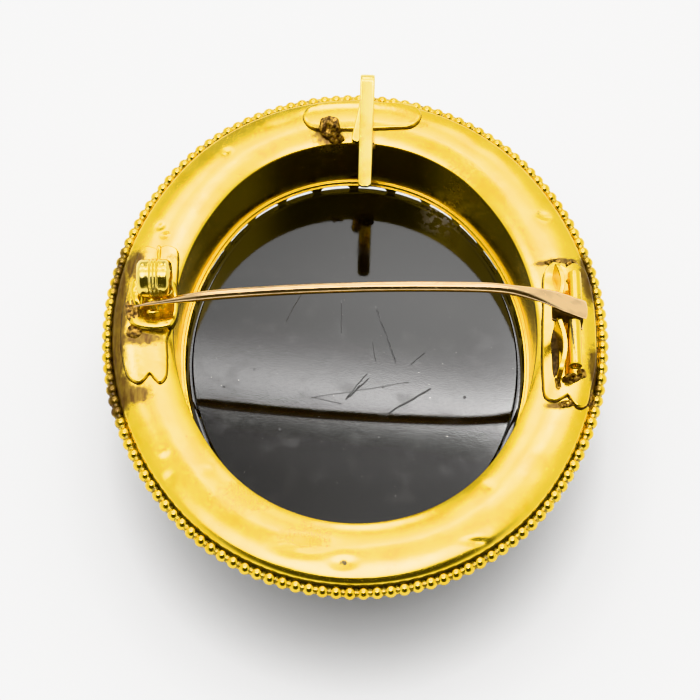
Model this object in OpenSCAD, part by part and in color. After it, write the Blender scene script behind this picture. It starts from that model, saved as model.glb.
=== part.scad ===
// Oval cameo brooch lying on its front, with the pin and the pendant hook upward.
// X runs along the pin towards its hinge, Y towards the pendant hook, Z up. Millimetres.
// Insets are measured inward from the centre line of the bead wire.

/* [Border oval] */
// Half width of the oval along the centre line of the bead wire
half_w = 22; // [20.5:0.5:24]
// Half height of the oval along the centre line of the bead wire
half_h = 25.5; // [23.5:0.5:29]

/* [Bead wire] */
// Diameter of one bead
bead_d = 1.0; // [0.8:0.05:1.2]
// Diameter of the wire core between the beads
core_d = 0.5; // [0.3:0.05:0.6]
// Number of beads round the border
bead_count = 134; // [120:1:140]
// Height of the bead wire's centre line above the surface
bead_z = 10.6; // [10:0.1:12]

/* [Hollow border] */
// Sheet thickness of the hollow border
sheet = 0.4; // [0.3:0.05:0.5]
// Radius of the domed back
dome_r = 7; // [6:0.25:9]
// Inset of the crest of the domed back
crest_inset = 3.3; // [2.8:0.1:3.8]
// Height of that crest above the bead wire's centre line
crest_rise = 1.5; // [1.2:0.1:2]
// Radius that rounds the dome over towards the beads
shoulder_r = 0.8; // [0.6:0.05:1]
// Inset of the opening's rim
rim_inset = 5.9; // [5.6:0.05:6.1]
// Inset of the well wall at its foot
foot_inset = 6.1; // [5.9:0.05:6.2]
// Height of the well wall's foot above the surface
foot_z = 5.6; // [5.4:0.05:6]
// Radius of the hollow moulding on the front
cove_r = 9; // [7:0.25:14]
// Width of the flat edge outside that moulding
edge_w = 0.15; // [0.1:0.05:0.4]

/* [Collet] */
// Inset of the collet's outer face
collet_out_inset = 6.2; // [6:0.05:6.3]
// Inset of the collet's inner face
collet_in_inset = 6.65; // [6.55:0.05:6.8]
// Inset of the upper step above the gallery
step_inset = 6.35; // [6.25:0.05:6.5]
// Height of the upper step's face above the gallery's top
step_rise = 0.7; // [0.5:0.05:0.9]
// Height of the lower step's face above the gallery's top
rail_rise = 0.35; // [0.25:0.05:0.45]
// Height of the gallery's top above the surface
gallery_z = 5.3; // [5:0.05:5.5]
// Height of one gallery window
window_h = 2.3; // [1.6:0.1:2.6]
// Number of gallery windows
window_count = 30; // [26:1:34]
// Width of the post between two windows
post_w = 0.85; // [0.6:0.05:1.1]
// Width of the lip that carries the stone
lip_w = 1.1; // [0.8:0.1:1.5]
// Thickness of that lip
lip_t = 0.4; // [0.3:0.05:0.6]

/* [Stone] */
// Thickness of the stone's plain slab
slab_t = 2.8; // [2.4:0.1:3]
// Height of the flower's centre above the front of the slab
boss_h = 1.9; // [1.2:0.1:2]
// Height of the petals
petal_h = 1.4; // [0.8:0.1:1.8]
// Height of the leaves
leaf_h = 0.95; // [0.5:0.05:1.5]
// Width that the bevel takes off the stone's back edge
bevel_w = 0.55; // [0.4:0.05:0.7]
// Height of that bevel
bevel_h = 1.9; // [1.6:0.1:2.1]
// Length of one petal of the carved flower
petal_l = 7.6; // [6:0.2:8]
// Width of one petal
petal_w = 4.6; // [3.6:0.2:5]
// Number of petals
petal_count = 8; // [6:1:10]
// Diameter of the flower's centre
boss_d = 4.2; // [3:0.2:5]
// Length of one leaf of the sprays above and below the flower
leaf_l = 5.6; // [4.4:0.2:6]
// Width of one leaf
leaf_w = 2.4; // [1.8:0.1:3]
// Distance of the leaf sprays from the flower's centre
spray_y = 7.8; // [7.4:0.1:8.2]
// Turn of the outer leaves away from the middle leaf
spray_turn = 42; // [30:1:60]

/* [Solder plates] */
// Thickness of the plates soldered to the back
plate_t = 0.35; // [0.25:0.05:0.45]
// Gap between neighbouring pieces
fit_gap = 0.02; // [0.01:0.01:0.04]

/* [Catch] */
// Place of the catch along the side of the border, from its middle
catch_y = 2.75; // [2:0.05:3.5]
// Inset of the middle of the catch
catch_inset = 4.4; // [4:0.1:4.6]
// Width of the fluted strip
strip_w = 2.9; // [2.4:0.1:3.2]
// Thickness of the fluted strip
strip_t = 0.45; // [0.35:0.05:0.55]
// Outer radius of the strip's curl
curl_r = 1.8; // [1.6:0.05:2]
// Width of the rib along the strip's middle
rib_w = 0.5; // [0.3:0.05:0.7]
// Depth of the two flutes
flute_depth = 0.14; // [0.05:0.01:0.2]
// Length of the pad under the curl
pad_l = 4; // [3.6:0.1:4.4]
// Width of the pad under the curl
pad_w = 4.5; // [4:0.1:4.6]
// Thickness of the pad
pad_t = 0.5; // [0.4:0.05:0.7]
// Radius of the pad's corners
pad_corner_r = 1.3; // [0.8:0.1:1.8]
// Distance of the pad's middle from the middle of the curl, outward
pad_out = 0.5; // [0.3:0.1:0.7]
// Distance of the pad's middle from the middle of the curl, along the border
pad_shift = 1.8; // [1.4:0.1:2.2]
// Length of the tail that runs from the curl along the plate
tail_l = 5; // [4:0.1:5.2]
// Height of that tail above the plate
tail_t = 0.3; // [0.2:0.05:0.4]
// Angle of the curl's lip, from the border's upper end over the top
lip_angle = 165; // [150:1:175]
// Angle of the curl's heel, the same way round and under the curl
heel_angle = -120; // [-130:1:-100]

/* [Hinge] */
// Place of the pin's block along the side of the border, from its middle
hinge_y = -1.2; // [-2:0.1:-0.4]
// Inset of the hinge's axis
hinge_inset = 2.9; // [2.6:0.1:3.1]
// Height of the hinge's axis above the bead wire's centre line
axis_rise = 3.45; // [3.3:0.05:3.8]
// Turn of the hinge and its pin, seen from above
hinge_turn = 3.3; // [0:0.1:5]
// Outer diameter of the knuckles
knuckle_d = 1.2; // [1.1:0.05:1.3]
// Diameter of the rivet
rivet_d = 0.5; // [0.4:0.05:0.6]
// Length of the knuckle on the hook's side
upper_knuckle_l = 3; // [2:0.1:3.6]
// Length of the other knuckle
lower_knuckle_l = 4.1; // [3:0.1:4.6]
// Thickness of the standing strip that stops the pin
stop_t = 0.5; // [0.4:0.05:0.6]
// Depth by which the standing strip reaches into the knuckles' sides
stop_sink = 0.1; // [0.05:0.01:0.15]
// Length by which the standing strip passes each knuckle
stop_extra = 0.8; // [0.2:0.1:1.2]
// Play of the pin's block between the knuckles and on the rivet
play = 0.05; // [0.03:0.01:0.08]

/* [Pin] */
// Diameter of the pin's shank
pin_d = 0.9; // [0.8:0.05:1]
// Diameter of the pin's rounded point
point_d = 0.12; // [0.08:0.02:0.2]
// Width of the block that the rivet passes through
block_w = 1.9; // [1.6:0.1:2.1]
// Thickness of that block
block_t = 1.55; // [1.3:0.05:1.7]
// Slope of the block
block_slope = 31; // [25:1:36]
// Length of the block past the axis towards its cut end
block_back = 0.8; // [0.7:0.05:1]
// Length of the block from the axis towards the shank
block_front = 2.5; // [2.2:0.1:2.8]
// Radius of the short bend over the block
bend_r = 13; // [11:0.5:16]
// Radius of the long bow of the shank
bow_r = 120; // [90:5:200]
// Distance from the hinge's axis to where the shank starts to taper
taper_start = 32.55; // [29.5:0.05:33.5]
// Length of the tapered end
taper_l = 6; // [5:0.5:7]
// Distance of the shank's top below the block's top
shank_drop = 0.05; // [0.02:0.01:0.1]

/* [Pendant hook] */
// Place of the hook beside the middle of the border
hook_x = 1.85; // [0:0.05:2.5]
// Place of the hook's plate beside the middle of the border
tab_x = 1.3; // [0:0.1:2]
// Inset of the hook's plate
tab_inset = 3.1; // [2.9:0.05:3.3]
// Length of the hook's plate
tab_l = 11.2; // [9:0.2:12]
// Width of the hook's plate
tab_w = 3.3; // [2.8:0.1:3.4]
// Width of the hook's strip
hook_w = 1.2; // [1:0.05:1.4]
// Thickness of the hook's strip
hook_t = 0.45; // [0.35:0.05:0.55]
// Outer radius of the hook's bend
hook_r = 1.3; // [1.1:0.05:1.4]
// Inset of the centre of the bend
hook_inset = 1.45; // [1.4:0.05:1.6]
// Length of the lower leg that is soldered down
hook_foot_l = 4.6; // [4:0.1:4.8]
// Length of the upper leg
hook_l = 10.3; // [8:0.1:11]
// Slope of the upper leg towards its free end
hook_slope = 11; // [6:0.5:12]
// Turn of the hook, seen from above
hook_turn = 3.2; // [0:0.1:5]
// Further turn of the leg that is soldered down
foot_turn = 6; // [0:0.5:8]
// Radius of the rounded corners of the free end
hook_corner_r = 0.35; // [0.2:0.05:0.5]

/* [Hidden] */
$fn = 72;

// Reach of a cut past the face that it opens.
over = 1;

gold = "gold";
pale_gold = "khaki";
stone_black = "dimgray";

// Four-centre oval: two side arcs and two end arcs, tangent where they meet. The centres lie at
// the corners of a 3-4-5 triangle, which keeps the arcs' shared end faces exactly in one plane.
join_dir = [0.8, 0.6];
join_angle = atan2(join_dir.y, join_dir.x);

// For the same reason the oval's rise over a circle is taken to the nearest eighth of a millimetre.
corner_step = 0.125;
corner_rise = round((half_h - half_w) / corner_step) * corner_step;
corner_shift = corner_rise / (join_dir.x + join_dir.y - 1);
end_c = corner_shift * join_dir.y;
side_c = corner_shift * join_dir.x;
side_r = half_w + side_c;
end_r = side_r - corner_shift;

function radians(deg) = deg * PI / 180;
function degrees(rad) = rad * 180 / PI;

// Half the length of a side arc, and the length of an end arc, at an inset.
function side_len(inset) = (side_r - inset) * radians(join_angle);
function end_len(inset) = (end_r - inset) * radians(180 - 2 * join_angle);
function half_len(inset) = 2 * side_len(inset) + end_len(inset);

// Direction of the outward normal at a distance along the oval, from the +X side.
function half_turn_at(s, inset) =
    s < side_len(inset) ? degrees(s / (side_r - inset)) :
    s < side_len(inset) + end_len(inset) ?
        join_angle + degrees((s - side_len(inset)) / (end_r - inset)) :
    180 - join_angle + degrees((s - side_len(inset) - end_len(inset)) / (side_r - inset));
function turn_at(s, inset) =
    s < half_len(inset) ? half_turn_at(s, inset) : 180 + half_turn_at(s - half_len(inset), inset);

// Point of the oval whose outward normal has the given direction.
function oval_point(a, inset) =
    abs(cos(a)) > cos(join_angle) ?
        [-sign(cos(a)) * side_c + (side_r - inset) * cos(a), (side_r - inset) * sin(a)] :
        [(end_r - inset) * cos(a), sign(sin(a)) * end_c + (end_r - inset) * sin(a)];

// Direction of the normal on a side arc at a height y, and on an end arc at a width x.
function side_turn(y, inset) = asin(y / (side_r - inset));
function side_x(y, inset) = (side_r - inset) * cos(side_turn(y, inset)) - side_c;
function end_y(x, inset) = end_c + sqrt(pow(end_r - inset, 2) - x * x);

// Filled oval at an inset.
module oval_area(inset) {
    intersection() {
        translate([-side_c, 0])
            circle(side_r - inset, $fn = 360);
        translate([side_c, 0])
            circle(side_r - inset, $fn = 360);
        square([2 * half_w, 2 * (side_r - inset) * join_dir.y], center = true);
    }
    for (s = [-1, 1])
        translate([0, s * end_c])
            circle(end_r - inset, $fn = 360);
}

// Length of the wedges that part the arcs, well past the oval.
reach = 100;

// A section, drawn with x running outward from the bead wire, swept along one arc or all four.
module side_sweep() {
    intersection() {
        translate([-side_c, 0, 0])
            rotate_extrude($fn = 360)
                translate([side_r, 0])
                    children();
        translate([-side_c, 0, -over])
            linear_extrude(reach)
                polygon([[0, 0], reach * [join_dir.x, -join_dir.y], reach * join_dir]);
    }
}
module end_sweep() {
    intersection() {
        translate([0, end_c, 0])
            rotate_extrude($fn = 360)
                translate([end_r, 0])
                    children();
        translate([0, end_c, -over])
            linear_extrude(reach)
                polygon([
                    [0, 0],
                    reach * join_dir,
                    reach * [0, 2 * join_dir.y],
                    reach * [-join_dir.x, join_dir.y]
                ]);
    }
}
module full_sweep() {
    for (a = [0, 180])
        rotate(a) {
            side_sweep()
                children();
            end_sweep()
                children();
        }
}

// Section of the border. The dome and the shoulder are tangent arcs.
outer_inset = bead_d / 2 + fit_gap;
dome_z = bead_z + crest_rise - dome_r;
shoulder_inset = outer_inset + shoulder_r;
shoulder_run = crest_inset - shoulder_inset;
shoulder_z = dome_z + sqrt(pow(dome_r - shoulder_r, 2) - pow(shoulder_run, 2));
border_low_z = bead_z - bead_d / 2;
tangent = [shoulder_run, shoulder_z - dome_z] / (dome_r - shoulder_r);
cove_out = [-outer_inset - edge_w, border_low_z];
cove_in = [-foot_inset, foot_z];
cove_chord = cove_in - cove_out;
cove_mid = (cove_in + cove_out) / 2;
cove_down = [-cove_chord.y, cove_chord.x] / norm(cove_chord);
cove_centre = cove_mid + cove_down * sqrt(pow(cove_r, 2) - pow(norm(cove_chord) / 2, 2));

// The border's outline, shrunk by skin, or grown where skin is negative.
module border_outline(skin) {
    top = bead_z + crest_rise + over;
    wall_lean = (foot_inset - rim_inset) / (top - foot_z);
    difference() {
        intersection() {
            union() {
                translate([-shoulder_inset, shoulder_z])
                    circle(shoulder_r - skin);
                intersection() {
                    translate([-crest_inset, dome_z])
                        circle(dome_r - skin, $fn = 240);
                    polygon([
                        [-shoulder_inset, shoulder_z],
                        [-shoulder_inset, shoulder_z] + tangent * 2 * shoulder_r,
                        [-crest_inset, top + over],
                        [-rim_inset - over, top + over],
                        [-foot_inset - over, foot_z - over],
                        [-shoulder_inset, foot_z - over]
                    ]);
                }
                translate([-shoulder_inset, border_low_z + skin])
                    square([shoulder_r - skin, shoulder_z - border_low_z - skin]);
            }
            polygon([
                [-rim_inset + skin, top],
                [-foot_inset - over * wall_lean + skin, foot_z - over],
                [over, foot_z - over],
                [over, top]
            ]);
        }
        translate(cove_centre)
            circle(cove_r + skin, $fn = 240);
    }
}

// The collet: stepped rail above the gallery, pierced wall and the lip that carries the stone.
lip_z = gallery_z - fit_gap - slab_t - fit_gap;
stone_back_z = lip_z + fit_gap + slab_t;
module collet_section() {
    step_z = gallery_z + step_rise;
    rail_z = gallery_z + rail_rise;
    polygon([
        [-foot_inset + sheet, foot_z + sheet],
        [-foot_inset + sheet, gallery_z],
        [-collet_out_inset, gallery_z],
        [-collet_out_inset, 0],
        [-collet_in_inset, 0],
        [-collet_in_inset, lip_z - lip_t],
        [-collet_in_inset - lip_w, lip_z - lip_t],
        [-collet_in_inset - lip_w, lip_z],
        [-collet_in_inset, lip_z],
        [-collet_in_inset, rail_z],
        [-step_inset, rail_z],
        [-step_inset, step_z],
        [-foot_inset, step_z]
    ]);
}

module gallery_windows() {
    mid_inset = (collet_in_inset + collet_out_inset) / 2;
    pitch = 2 * half_len(mid_inset) / window_count;
    for (i = [0 : window_count - 1]) {
        a = turn_at(i * pitch, mid_inset);
        translate(concat(oval_point(a, mid_inset), gallery_z - window_h))
            rotate(a)
                translate([-lip_w / 2, (post_w - pitch) / 2, 0])
                    cube([lip_w, pitch - post_w, window_h]);
    }
}

module frame() {
    color(gold)
        difference() {
            full_sweep() {
                difference() {
                    border_outline(0);
                    border_outline(sheet);
                }
                collet_section();
            }
            gallery_windows();
        }
}

// A bead whose poles lie on the wire.
module bead(turn) {
    translate(oval_point(turn, 0))
        rotate([90, 0, turn])
            rotate_extrude($fn = 24)
                intersection() {
                    circle(bead_d / 2);
                    translate([0, -bead_d])
                        square([bead_d, 2 * bead_d]);
                }
}

module bead_wire() {
    pitch = 2 * half_len(0) / bead_count;
    color(gold)
        translate([0, 0, bead_z]) {
            full_sweep()
                circle(core_d / 2);
            for (i = [0 : bead_count - 1])
                bead(turn_at((i + 0.5) * pitch, 0));
        }
}

// Leaf shape between two equal arcs, with a domed top, lying along +X from the origin. It
// reaches below z = 0 by its root, into the slab.
relief_root = 0.3;
module leaf(l, w, h) {
    arc_r = (l * l / 4 + w * w / 4) / w;
    dome = (l * l / 4 + h * h) / (2 * h);
    intersection() {
        translate([0, 0, -relief_root])
            linear_extrude(h + relief_root + fit_gap)
                intersection() {
                    translate([l / 2, arc_r - w / 2])
                        circle(arc_r, $fn = 120);
                    translate([l / 2, w / 2 - arc_r])
                        circle(arc_r, $fn = 120);
                }
        translate([l / 2, 0, h - dome])
            sphere(dome, $fn = 120);
    }
}

// The bevel's cut passes the stone's side and back by a share of the bevel.
stone_inset = collet_in_inset + fit_gap;
bevel_over = 0.3;
module cameo() {
    face_z = stone_back_z - slab_t;
    color(stone_black) {
        difference() {
            translate([0, 0, face_z])
                linear_extrude(slab_t)
                    oval_area(stone_inset);
            translate([0, 0, stone_back_z])
                full_sweep()
                    translate([-stone_inset, 0])
                        polygon([
                            [bevel_over * bevel_w, -(1 + bevel_over) * bevel_h],
                            [-(1 + bevel_over) * bevel_w, bevel_over * bevel_h],
                            bevel_over * [bevel_w, bevel_h]
                        ]);
        }
        mirror([0, 0, 1])
            translate([0, 0, -face_z])
                relief();
    }
}

// Carved flower with a spray of three leaves above and below it.
module relief() {
    for (i = [0 : petal_count - 1])
        rotate((i + 0.5) * 360 / petal_count)
            leaf(petal_l, petal_w, petal_h);
    intersection() {
        translate([0, 0, -relief_root])
            cylinder(d = boss_d, h = boss_h + relief_root);
        translate([0, 0, boss_h - boss_d])
            sphere(boss_d);
    }
    for (s = [0, 180], a = [-spray_turn, 0, spray_turn])
        rotate(s)
            translate([0, spray_y, 0])
                rotate(90 + a)
                    leaf(leaf_l, leaf_w, leaf_h);
}

// Sheet that lies on the domed back with a small gap, between two insets.
module plate_section(out_inset, in_inset) {
    intersection() {
        difference() {
            border_outline(-fit_gap - plate_t);
            border_outline(-fit_gap);
        }
        translate([-in_inset, bead_z])
            square([in_inset - out_inset, dome_r]);
    }
}
plate_top_z = bead_z + crest_rise + fit_gap + plate_t;
plate_cut_h = plate_top_z + over;
plate_out_inset = outer_inset + shoulder_r / 4;
plate_in_inset = rim_inset - fit_gap;
solder_sink = 0.05;

// Lobes of the two-lobed plates: x of the left and right lobe, their y, radius.
catch_lobes = [[-1.2, 0.6, 4.1, 1.25], [-1.55, 0.65, -7.5, 1.15]];
hinge_lobes = [[-1.3, 0.55, 5.25, 1.05], [-1.65, 0.5, -6.7, 1.1]];
LEFT = 0;
RIGHT = 1;
LOBE_Y = 2;
LOBE_R = 3;

module lobed_outline(lobes, left_more, right_more) {
    for (e = lobes, k = [LEFT, RIGHT])
        translate([e[k], e[LOBE_Y]])
            circle(e[LOBE_R]);
    polygon([
        for (e = lobes) [e[LEFT] - e[LOBE_R] - left_more, e[LOBE_Y]],
        for (k = [1, 0]) [lobes[k][RIGHT] + lobes[k][LOBE_R] + right_more, lobes[k][LOBE_Y]]
    ]);
}

// Catch. Its origin is the centre of the curl, with the strip's width along X.
curl_z = plate_top_z + pad_t + curl_r - solder_sink;
module at_catch() {
    translate([-side_x(catch_y, catch_inset), catch_y, 0])
        children();
}

module strip_section() {
    flute_w = (strip_w - rib_w) / 2;
    flute_r = (flute_w * flute_w / 4 + flute_depth * flute_depth) / (2 * flute_depth);
    difference() {
        translate([curl_r - strip_t, -strip_w / 2])
            square([strip_t, strip_w]);
        for (s = [-1, 1])
            translate([curl_r - flute_depth + flute_r, s * (rib_w + flute_w) / 2])
                circle(flute_r, $fn = 120);
    }
}

module rounded_rectangle(l, w, r) {
    square([l - 2 * r, w], center = true);
    square([l, w - 2 * r], center = true);
    for (x = [-1, 1], y = [-1, 1])
        translate([x * (l / 2 - r), y * (w / 2 - r)])
            circle(r);
}

module round_ended(l, w) {
    square([l - w, w], center = true);
    for (s = [-1, 1])
        translate([s * (l - w) / 2, 0])
            circle(w / 2);
}

// Angles are measured from +Y towards +Z. The mouth of the curl opens towards -Y.
module catch() {
    color(gold) {
        intersection() {
            at_catch()
                linear_extrude(plate_cut_h)
                    lobed_outline(catch_lobes, strip_t, 0);
            rotate(180)
                side_sweep()
                    plate_section(plate_out_inset, plate_in_inset);
        }
        at_catch() {
            translate([-pad_out, -pad_shift, plate_top_z - plate_t / 2])
                linear_extrude(pad_t + plate_t / 2)
                    rounded_rectangle(pad_w, pad_l, pad_corner_r);
            translate([0, 0, curl_z])
                rotate([0, 90, 0])
                    rotate_extrude(angle = lip_angle - heel_angle, start = 90 + heel_angle, $fn = 120)
                        strip_section();
            translate([-rib_w / 2, 0, plate_top_z - plate_t / 2])
                cube([rib_w, tail_l, tail_t + plate_t / 2]);
        }
    }
}

// Hinge. Its origin is where the rivet's axis meets the middle of the pin's block.
axis_z = bead_z + axis_rise;
module at_hinge() {
    translate([side_x(hinge_y, hinge_inset), hinge_y, 0])
        rotate(-hinge_turn)
            children();
}

// Turns a cylinder to lie along Y, starting at y.
module along_y(y) {
    translate([0, y, 0])
        rotate([-90, 0, 0])
            children();
}

block_gap_y = block_w / 2 + play;
rivet_l = lower_knuckle_l + 2 * block_gap_y + upper_knuckle_l;
stop_x = -knuckle_d / 2 - stop_t + stop_sink;
stop_low_z = plate_top_z - plate_t / 2;
// Height at which the middle of the standing strip meets the underside of the pin's block.
stop_mid_z = axis_z - block_t / 2 / cos(block_slope) - (stop_x + stop_t) * tan(block_slope) - play;

module knuckle(y, l) {
    translate([0, 0, axis_z])
        along_y(y)
            cylinder(d = knuckle_d, h = l);
}

module hinge() {
    color(gold)
        difference() {
            union() {
                intersection() {
                    at_hinge()
                        linear_extrude(plate_cut_h)
                            lobed_outline(hinge_lobes, 0, knuckle_d);
                    side_sweep()
                        plate_section(plate_out_inset, plate_in_inset);
                }
                at_hinge() {
                    knuckle(block_gap_y, upper_knuckle_l);
                    knuckle(-block_gap_y - lower_knuckle_l, lower_knuckle_l);
                    translate([stop_x, block_gap_y, stop_low_z])
                        cube([stop_t, upper_knuckle_l + stop_extra, axis_z + knuckle_d / 2 - stop_low_z]);
                    translate([stop_x, -block_gap_y - lower_knuckle_l - stop_extra, stop_low_z])
                        cube([stop_t, lower_knuckle_l + stop_extra, axis_z + knuckle_d / 2 - stop_low_z]);
                    translate([stop_x, -block_gap_y, stop_low_z])
                        cube([stop_t, 2 * block_gap_y, stop_mid_z - stop_low_z]);
                }
            }
            at_hinge()
                translate([0, 0, axis_z])
                    along_y(-block_gap_y - lower_knuckle_l - over)
                        cylinder(d = rivet_d + fit_gap, h = rivet_l + 2 * over);
        }
}

module hinge_rivet() {
    color(pale_gold)
        at_hinge()
            translate([0, 0, axis_z])
                along_y(-block_gap_y - lower_knuckle_l)
                    cylinder(d = rivet_d, h = rivet_l);
}

// Pin. Its shank is rooted in the block near its top, bends level, bows and tapers. The taper
// starts a hair slimmer than the shank, a short way inside it.
root_turn = 4;
taper_root = 0.2;
taper_step = 0.04;
shank_u = -block_front;
shank_v = (block_t - pin_d) / 2 - shank_drop;
bend_centre = [
    shank_u * cos(block_slope) + (shank_v - bend_r) * sin(block_slope),
    -shank_u * sin(block_slope) + (shank_v - bend_r) * cos(block_slope)
];
bow_angle = asin((taper_start + bend_centre.x) / bow_r);

// Round wire along an arc in the XZ plane, from one angle to another.
module arc_wire(r, from, to) {
    rotate([90, 0, 0])
        rotate_extrude(angle = to - from, start = from, $fn = 720)
            translate([r, 0])
                circle(pin_d / 2, $fn = 48);
}

module shank() {
    translate([bend_centre.x, 0, bend_centre.y]) {
        arc_wire(bend_r, 90 - block_slope - root_turn, 90);
        translate([0, 0, bend_r - bow_r]) {
            arc_wire(bow_r, 90, 90 + bow_angle);
            rotate([0, -bow_angle, 0])
                translate([taper_root, 0, bow_r])
                    rotate([0, -90, 0])
                        cylinder(d1 = pin_d - taper_step, d2 = point_d, h = taper_root + taper_l);
        }
    }
}

// Side view of the block: x along it, y downwards. Its lower back edge is rounded about the
// rivet, so that it turns clear of the standing strip.
module block_side() {
    difference() {
        union() {
            translate([-block_front, -block_t / 2])
                square([block_front, block_t]);
            translate([-block_t / 2, -block_t / 2])
                square([block_back + block_t / 2, block_t / 2]);
            circle(d = block_t);
        }
        circle(d = rivet_d + 2 * play);
    }
}

module pin() {
    color(pale_gold)
        at_hinge()
            translate([0, 0, axis_z]) {
                rotate([0, block_slope, 0])
                    along_y(-block_w / 2)
                        linear_extrude(block_w)
                            block_side();
                shank();
            }
}

// Pendant hook. Its origin is the centre of the bend, with the strip's width along X.
hook_z = plate_top_z + hook_r - solder_sink;
module at_hook() {
    translate([hook_x, end_y(hook_x, hook_inset), hook_z])
        rotate(-hook_turn)
            children();
}

// Plan of the free leg, towards -Y.
module leg_plan(l) {
    translate([0, -(l - hook_corner_r) / 2])
        square([hook_w, l - hook_corner_r], center = true);
    translate([0, -l / 2])
        square([hook_w - 2 * hook_corner_r, l], center = true);
    for (s = [-1, 1])
        translate([s * (hook_w / 2 - hook_corner_r), -l + hook_corner_r])
            circle(hook_corner_r);
}

module pendant_hook() {
    color(gold) {
        intersection() {
            translate([tab_x, end_y(tab_x, tab_inset), 0])
                linear_extrude(plate_cut_h)
                    round_ended(tab_l, tab_w);
            end_sweep()
                plate_section(plate_out_inset, plate_in_inset);
        }
        at_hook() {
            rotate(-foot_turn)
                translate([0, hook_w * sin(foot_turn), -hook_r])
                    linear_extrude(hook_t) {
                        translate([-hook_w / 2, -hook_foot_l])
                            square([hook_w, hook_foot_l]);
                        translate([0, -hook_foot_l])
                            circle(hook_w / 2);
                    }
            translate([-hook_w / 2, 0, 0])
                rotate([90, 0, 90])
                    rotate_extrude(angle = 180 + hook_slope, start = -90)
                        translate([hook_r - hook_t, 0])
                            square([hook_t, hook_w]);
            rotate([hook_slope, 0, 0])
                translate([0, 0, hook_r - hook_t])
                    linear_extrude(hook_t)
                        leg_plan(hook_l);
        }
    }
}

frame();
bead_wire();
cameo();
catch();
hinge();
hinge_rivet();
pin();
pendant_hook();
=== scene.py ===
"""Oval cameo brooch lying on its front, with its pin, catch and pendant hook upward.

Shapes are worked out in millimetres and stored in metres. Insets are measured inward from the
centre line of the bead wire, and turns are directions of the oval's outward normal.
"""

import math

import bpy
import numpy as np
from bpy.props import FloatProperty, FloatVectorProperty, IntProperty
from mathutils import Matrix, Vector, noise
from mathutils.geometry import delaunay_2d_cdt


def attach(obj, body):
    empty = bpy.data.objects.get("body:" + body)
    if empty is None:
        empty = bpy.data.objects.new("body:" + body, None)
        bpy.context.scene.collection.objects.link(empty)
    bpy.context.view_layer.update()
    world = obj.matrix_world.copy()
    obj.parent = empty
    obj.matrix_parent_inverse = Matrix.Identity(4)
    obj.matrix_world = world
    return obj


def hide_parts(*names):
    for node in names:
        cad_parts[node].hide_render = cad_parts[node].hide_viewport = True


bl_info = {
    "name": "Cameo brooch",
    "version": (1, 0, 0),
    "blender": (4, 5, 0),
    "location": "View3D > Sidebar > Brooch",
    "description": "Builds the gold mount, stone, fittings and stage of an oval cameo brooch",
    "category": "Object",
}

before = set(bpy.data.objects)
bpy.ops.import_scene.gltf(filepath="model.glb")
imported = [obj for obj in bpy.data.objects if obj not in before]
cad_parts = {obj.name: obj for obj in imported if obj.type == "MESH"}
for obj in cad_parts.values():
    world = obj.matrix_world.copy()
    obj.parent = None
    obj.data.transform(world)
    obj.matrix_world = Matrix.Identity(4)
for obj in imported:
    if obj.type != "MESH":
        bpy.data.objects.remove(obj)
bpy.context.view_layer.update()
MM = 0.001
# Turn at which the oval's side arcs meet its end arcs
JOIN = math.atan2(0.6, 0.8)


# Sizes and colours

def length(label, about, mm):
    return FloatProperty(name=label, description=about, default=mm * MM, unit="LENGTH", precision=5)


def colour(label, about, rgb):
    return FloatVectorProperty(
        name=label, description=about, default=rgb, size=3, min=0, max=1, subtype="COLOR")


class BroochSizes(bpy.types.PropertyGroup):
    half_width: length("Half width", "Half width of the bead wire's centre line", 22)
    half_height: length("Half height", "Half height of the bead wire's centre line", 25.5)
    bead: length("Bead", "Diameter of one bead", 1.12)
    bead_core: length("Bead core", "Diameter of the wire between the beads", 0.72)
    bead_inset: length("Bead inset", "Inset of the row of beads", 0.13)
    bead_lift: length("Bead lift", "Height of the row of beads above its centre line", 0.12)
    bead_z: length("Bead height", "Height of the bead wire's centre line", 10.6)
    bead_count: IntProperty(name="Beads", description="Beads round the border", default=134)
    crest_rise: length("Crest rise", "Height of the border's crest above the beads", 1.5)
    gallery_top: length("Gallery top", "Height of the top of the windows", 5.3)
    window: length("Window height", "Height of a gallery window", 2.3)
    window_rise: length("Window rise", "Height of the windows' tops above the gallery's top", 0.26)
    window_count: IntProperty(name="Windows", description="Windows in the gallery", default=30)
    post: length("Post width", "Width of the post between two windows", 0.85)
    plate: length("Plate", "Thickness of the soldered plates", 0.35)
    pin: length("Pin", "Diameter of the pin's shank", 0.9)
    rim_soft: length("Rim radius", "Radius of the opening's rounded rim", 0.13)


class BroochColours(bpy.types.PropertyGroup):
    gold: colour("Gold", "Yellow gold of the mount", (0.94, 0.665, 0.085))
    deep_gold: colour("Deep gold", "Deeper gold in the worn patches", (0.88, 0.59, 0.055))
    rose_gold: colour("Rose gold", "Pale rose gold of the pin", (0.93, 0.66, 0.36))
    pale_gold: colour("Pale gold", "Paler gold of the hook and the curl", (0.95, 0.77, 0.26))
    firescale: colour("Firescale", "Brown and purple skin left by soldering", (0.075, 0.04, 0.02))
    # This colour also paints shade, in creases, in seams and between the hinge's parts
    grime: colour("Grime", "Old dirt in the hollows", (0.035, 0.02, 0.008))
    stone: colour("Stone", "Black stone", (0.006, 0.005, 0.004))
    dust: colour("Dust", "Dust and polish left on the stone", (0.36, 0.32, 0.27))
    floor: colour("Floor", "Pale surface under the brooch", (0.76, 0.76, 0.765))


def sizes():
    return bpy.context.scene.brooch_sizes


def mm(name):
    return getattr(sizes(), name) / MM


def tint(name):
    return tuple(getattr(bpy.context.scene.brooch_colours, name)) + (1.0,)


# The four-centre oval

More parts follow.
